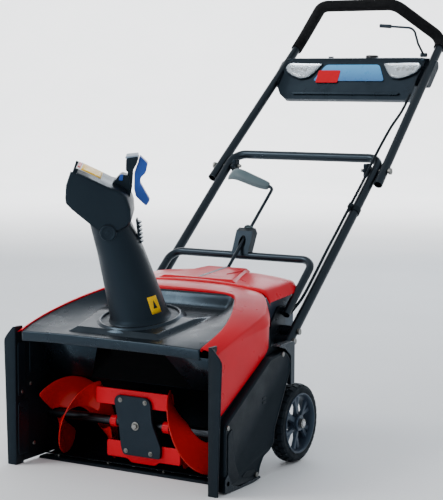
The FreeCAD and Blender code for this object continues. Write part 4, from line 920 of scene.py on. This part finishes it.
def console():
    profile = [(964, 770), (1000, 826), (1022, 864), (1026, 870), (1033, 877), (1040, 878), (1076, 878),
               (1082, 874), (1083, 862), (1060, 822), (1036, 784), (1020, 770), (1002, 763), (975, 764)]
    middle, top = 1030, 872
    rows = []
    for x, sink, keep in ((-199, 16, 0.55), (-196, 12, 0.72), (-188, 5, 0.88), (-172, 1, 1.0), (-120, 0, 1.0),
                          (0, 0, 1.0), (120, 0, 1.0), (172, 1, 1.0), (188, 5, 0.88), (196, 12, 0.72),
                          (199, 16, 0.55)):
        row = []
        for y, z in profile:
            inward = sink * 0.4 * (1 if y < middle else -1)
            row.append((x, y + inward, top - (top - z) * keep if z < top else z - sink * 0.15))
        rows.append(row)
    make("console_shell", *loft(rows), CHARCOAL, "upper_handle",
         stands_for=["console_back", "console_front"], sharp=30)
    lamp = [(88, 108), (110, 76), (120, 66), (142, 62), (166, 70), (186, 82), (195, 98), (188, 110)]
    for side, label in SIDES:
        outline = rounded([(side * x, up) for x, up in lamp], 6, 4)
        middle = Vector((side * 146, 90))

        def scaled(amount):
            return [tuple(middle + (Vector(p) - middle) * amount) for p in outline]
        reflector = loft([[on_face(a, b, 1.6) for a, b in scaled(0.99)],
                          [on_face(a, b, 0.6) for a, b in scaled(0.9)]])
        make("reflector_" + label, *reflector, LAMP_SILVER, "upper_handle")
        rows = [[on_face(a, b, out) for a, b in scaled(s)]
                for s, out in ((1.0, 1.0), (1.0, 3.2), (0.97, 4.6), (0.8, 5.6), (0.4, 6.2))]
        make("lens_" + label, *loft(rows), LENS, "upper_handle",
             stands_for=["lamp_lenses"] if side > 0 else (), sharp=60)
        bezel = [on_face(a, b, 2.2) for a, b in scaled(1.03)]
        make("bezel_" + label, *sweep(bezel + bezel[:2], 1.5, 8), CHARCOAL, "upper_handle")
        bulbs = []
        for k in range(4):
            centre = on_face(side * (134 + 13 * k), 90 + 2 * (k % 2), 1.4)
            bulb = [(0, 5.6), (1.0, 5.2), (0.4, 2.2), (1.6, 1.6), (1.9, 0.1)]
            bulbs.append(spin(bulb, centre, FACE_OUT, 20))
        make("bulbs_" + label, *joined(bulbs), WHITE, "upper_handle")
    decal = rounded([(-104, 56), (-78, 106), (76, 106), (102, 56)], 9, 5)
    make("decal", *slab(decal, 0.2, 1.0, on_face), decal_material(), "upper_handle", bevel=0.2)
    badge = rounded([(-94, 50), (-94, 88), (-30, 88), (-30, 50)], 4, 3)
    make("badge", *slab(badge, 0.6, 2.4, on_face), RED, "upper_handle", bevel=0.7)
    line = rounded([(-150, 14), (150, 14), (156, 20), (-156, 20)], 2, 2)
    make("console_step", *slab(line, -1.0, 3.2, on_face), CHARCOAL, "upper_handle", bevel=1.2)
    ears = []
    for side in (-1, 1):
        outline = rounded([(985, 815), (1046, 872), (1060, 866), (1062, 850), (1010, 800), (990, 800)], 6, 3)
        low, high = (192, 224) if side > 0 else (-224, -192)
        ears.append(slab(outline, low, high, side_on))
    make("console_ears", *joined(ears), CHARCOAL, "upper_handle", bevel=2.5)


def decal_material():
    """A blue field that pales upwards."""
    mat, nodes, links, shader = new_material("decal_blue")
    coords = nodes.new("ShaderNodeTexCoord")
    split = nodes.new("ShaderNodeSeparateXYZ")
    links.new(coords.outputs["Object"], split.inputs["Vector"])
    color = blend_color(nodes, links, between(nodes, links, split.outputs["Z"], 0, 1, 0.80, 0.86),
                        (0.02, 0.07, 0.25), (0.10, 0.42, 0.78), 0.0, 1.0)
    links.new(color, shader.inputs["Base Color"])
    links.new(between(nodes, links, noise(nodes, links, 60), 0.25, 0.35), shader.inputs["Roughness"])
    return mat


# ---------------------------------------------------------------- handle parts

def lever():
    """The chute crank's grip: a flat moulded handle that hooks down at its far end."""
    bend = Vector((0, 595, 389 + (595 - 384) * tan(SLOPE)))
    turn = radians(72)
    out = -X * sin(turn) + ABOVE * cos(turn)
    up = out.cross(ALONG)
    rows = []
    for reach, width, depth, shift, drop in ((10, 7, 6, 0, 0), (14, 10, 9, 0, 0), (34, 13, 10, 1, 0),
                                             (60, 14, 11, 3, -2), (84, 15, 11, 7, -3), (100, 15, 11, 10, 0),
                                             (112, 13, 10, 12, 8), (120, 9, 8, 13, 18), (123, 6, 5, 13, 25)):
        centre = bend + out * reach + ALONG * shift + up * (-drop if up.z > 0 else drop)
        rows.append([tuple(centre + ALONG * (width * copysign(abs(cos(a)) ** 0.7, cos(a)))
                           + up * (depth * copysign(abs(sin(a)) ** 0.7, sin(a))))
                     for a in turns(20)])
    make("crank_grip", *loft(rows), GREY, "control_rod", stands_for=["control_lever"], levels=1)
    # Dark discs stand in for the two holes through the grip: painted shade.
    shaded_pits = []
    for reach, shift in ((36, 1), (58, 2)):
        for face in (-1, 1):
            centre = bend + out * reach + ALONG * shift + up * face * 9.0
            shaded_pits.append(spin([(0, 4.2), (0.9, 4.2), (0.9, 0.1)], centre, up * face, 20))
    make("crank_holes_painted_shade", *joined(shaded_pits), CHUTE_BLACK, "control_rod")


def cable_run():
    """The switch cable from the console down to the body, clipped to the right leg."""
    stops = [(186, 962, -12), (190, 905, -6), (196, 845, 12), (197, 791, 17), (197, 735, 17), (198, 680, 16),
             (198, 620, 17), (197, 560, 16), (197, 500, 17), (197, 440, 16), (196, 390, 16), (184, 362, 10),
             (174.5, 350, 6)]
    line = curve_through([handle_point(*stop) for stop in stops], 8)
    obj = plain_mesh("switch_cable", *sweep(line, 3.5, 14), CABLE)
    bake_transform(obj)
    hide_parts("cable_lower", "cable_upper")


def knobs():
    for side, label in SIDES:
        centre = handle_point(0, 729)
        rows = []
        for x, grow in ((193, 0.55), (189, 0.8), (186, 1.0), (179, 1.0), (177.5, 0.9), (177, 0.4)):
            row = []
            for a in turns(60):
                radius = (15.5 + 3.6 * cos(6 * a)) * grow
                row.append((side * x, centre.y + radius * cos(a), centre.z + radius * sin(a)))
            rows.append(row)
        make("lobed_knob_" + label, *loft(rows), CHUTE_BLACK, label + "_knob",
             stands_for=["handle_knob_" + label], sharp=50)


for build in (hood, lid, deck, housing, side_details, flange, belt_cover, flights, paddle, brackets, chute,
              deflector_shell, deflector_grip, labels, wheels, console, lever, cable_run, knobs):
    build()

for name, width in (("rear_body", 2.5), ("battery_door", 1.0), ("scraper_blade", 0.6), ("rod_bracket", 1.5),
                    ("door_latch", 0.8), ("battery_pack", 1.0), ("handle_mounts", 0.6)):
    soften(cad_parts[name], width)


# ---------------------------------------------------------------- floor, light and camera

CAMERA_TURN = 30.6


def area_light(name, place, aim, size, power, color=(1, 1, 1)):
    light = bpy.data.lights.new(name, "AREA")
    light.shape = "RECTANGLE"
    light.size, light.size_y = size
    light.energy = power
    light.color = color
    obj = add_object(name, light)
    obj.location = place
    obj.visible_camera = False
    obj.rotation_euler = (Vector(aim) - Vector(place)).to_track_quat("-Z", "Y").to_euler()


def studio():
    # A seamless sweep: the floor runs far back and curves up into a pale wall.
    sweep_line = [(-14.0, 0.0), (6.0, 0.0), (9.0, 0.0), (10.5, 0.35), (11.7, 1.2), (12.4, 2.4), (12.7, 4.0),
                  (12.8, 12.0)]
    turn = radians(CAMERA_TURN)
    away, across = Vector((-sin(turn), cos(turn), 0)), Vector((cos(turn), sin(turn), 0))
    line = curve_through([(a, b, 0) for a, b in sweep_line], 6)
    half_width, sunk = 16, 0.0005
    rows = []
    for side in (-half_width, half_width):
        rows.append([tuple((away * p.x + across * side + Z * (max(p.y, 0.0) - sunk)) / MM) for p in line])
    pale = surface("studio_floor", (0.86, 0.87, 0.88), (0.9, 0.9, 0.91), (0.8, 0.9), patch=2, grain=200,
                   depth=0.02)
    plain_mesh("studio_floor", *sheet(rows), pale)
    world = bpy.data.worlds.new("studio")
    world.use_nodes = True
    fill(world.node_tree.nodes["Background"], {"Color": (0.90, 0.95, 1.0, 1), "Strength": 0.72})
    bpy.context.scene.world = world
    area_light("key", (-2.4, -1.8, 3.2), (0, 0.1, 0.3), (1.6, 1.6), 90)
    area_light("front", (-0.9, -3.7, 0.9), (0, 0, 0.15), (2.2, 1.2), 40)
    area_light("back", (-0.6, 4.2, 2.6), (0, 0.2, 0.35), (3.4, 1.6), 75, (0.8, 0.9, 1.0))
    area_light("wall", tuple(away * 6.5 + Z * 4.5), tuple(away * 12 + Z * 1.2), (12, 2.5), 1500)


def camera():
    turn, rise, roll = radians(CAMERA_TURN), radians(6.0), radians(0.3)
    back = Vector((sin(turn) * cos(rise), -cos(turn) * cos(rise), sin(rise)))
    right = Vector((cos(turn), sin(turn), 0))
    up = back.cross(right)
    rolled_right = right * cos(roll) + up * sin(roll)
    rolled_up = up * cos(roll) - right * sin(roll)
    data = bpy.data.cameras.new("camera")
    obj = add_object("camera", data)
    axes = Matrix((rolled_right, rolled_up, back)).transposed()
    obj.matrix_world = Matrix.Translation(Vector((1.7569, -2.5818, 0.8001))) @ axes.to_4x4()
    data.sensor_width = 36
    data.lens = 109.4
    data.shift_x, data.shift_y = -0.0152, -0.0066
    data.dof.use_dof = False
    bpy.context.scene.camera = obj


studio()
camera()
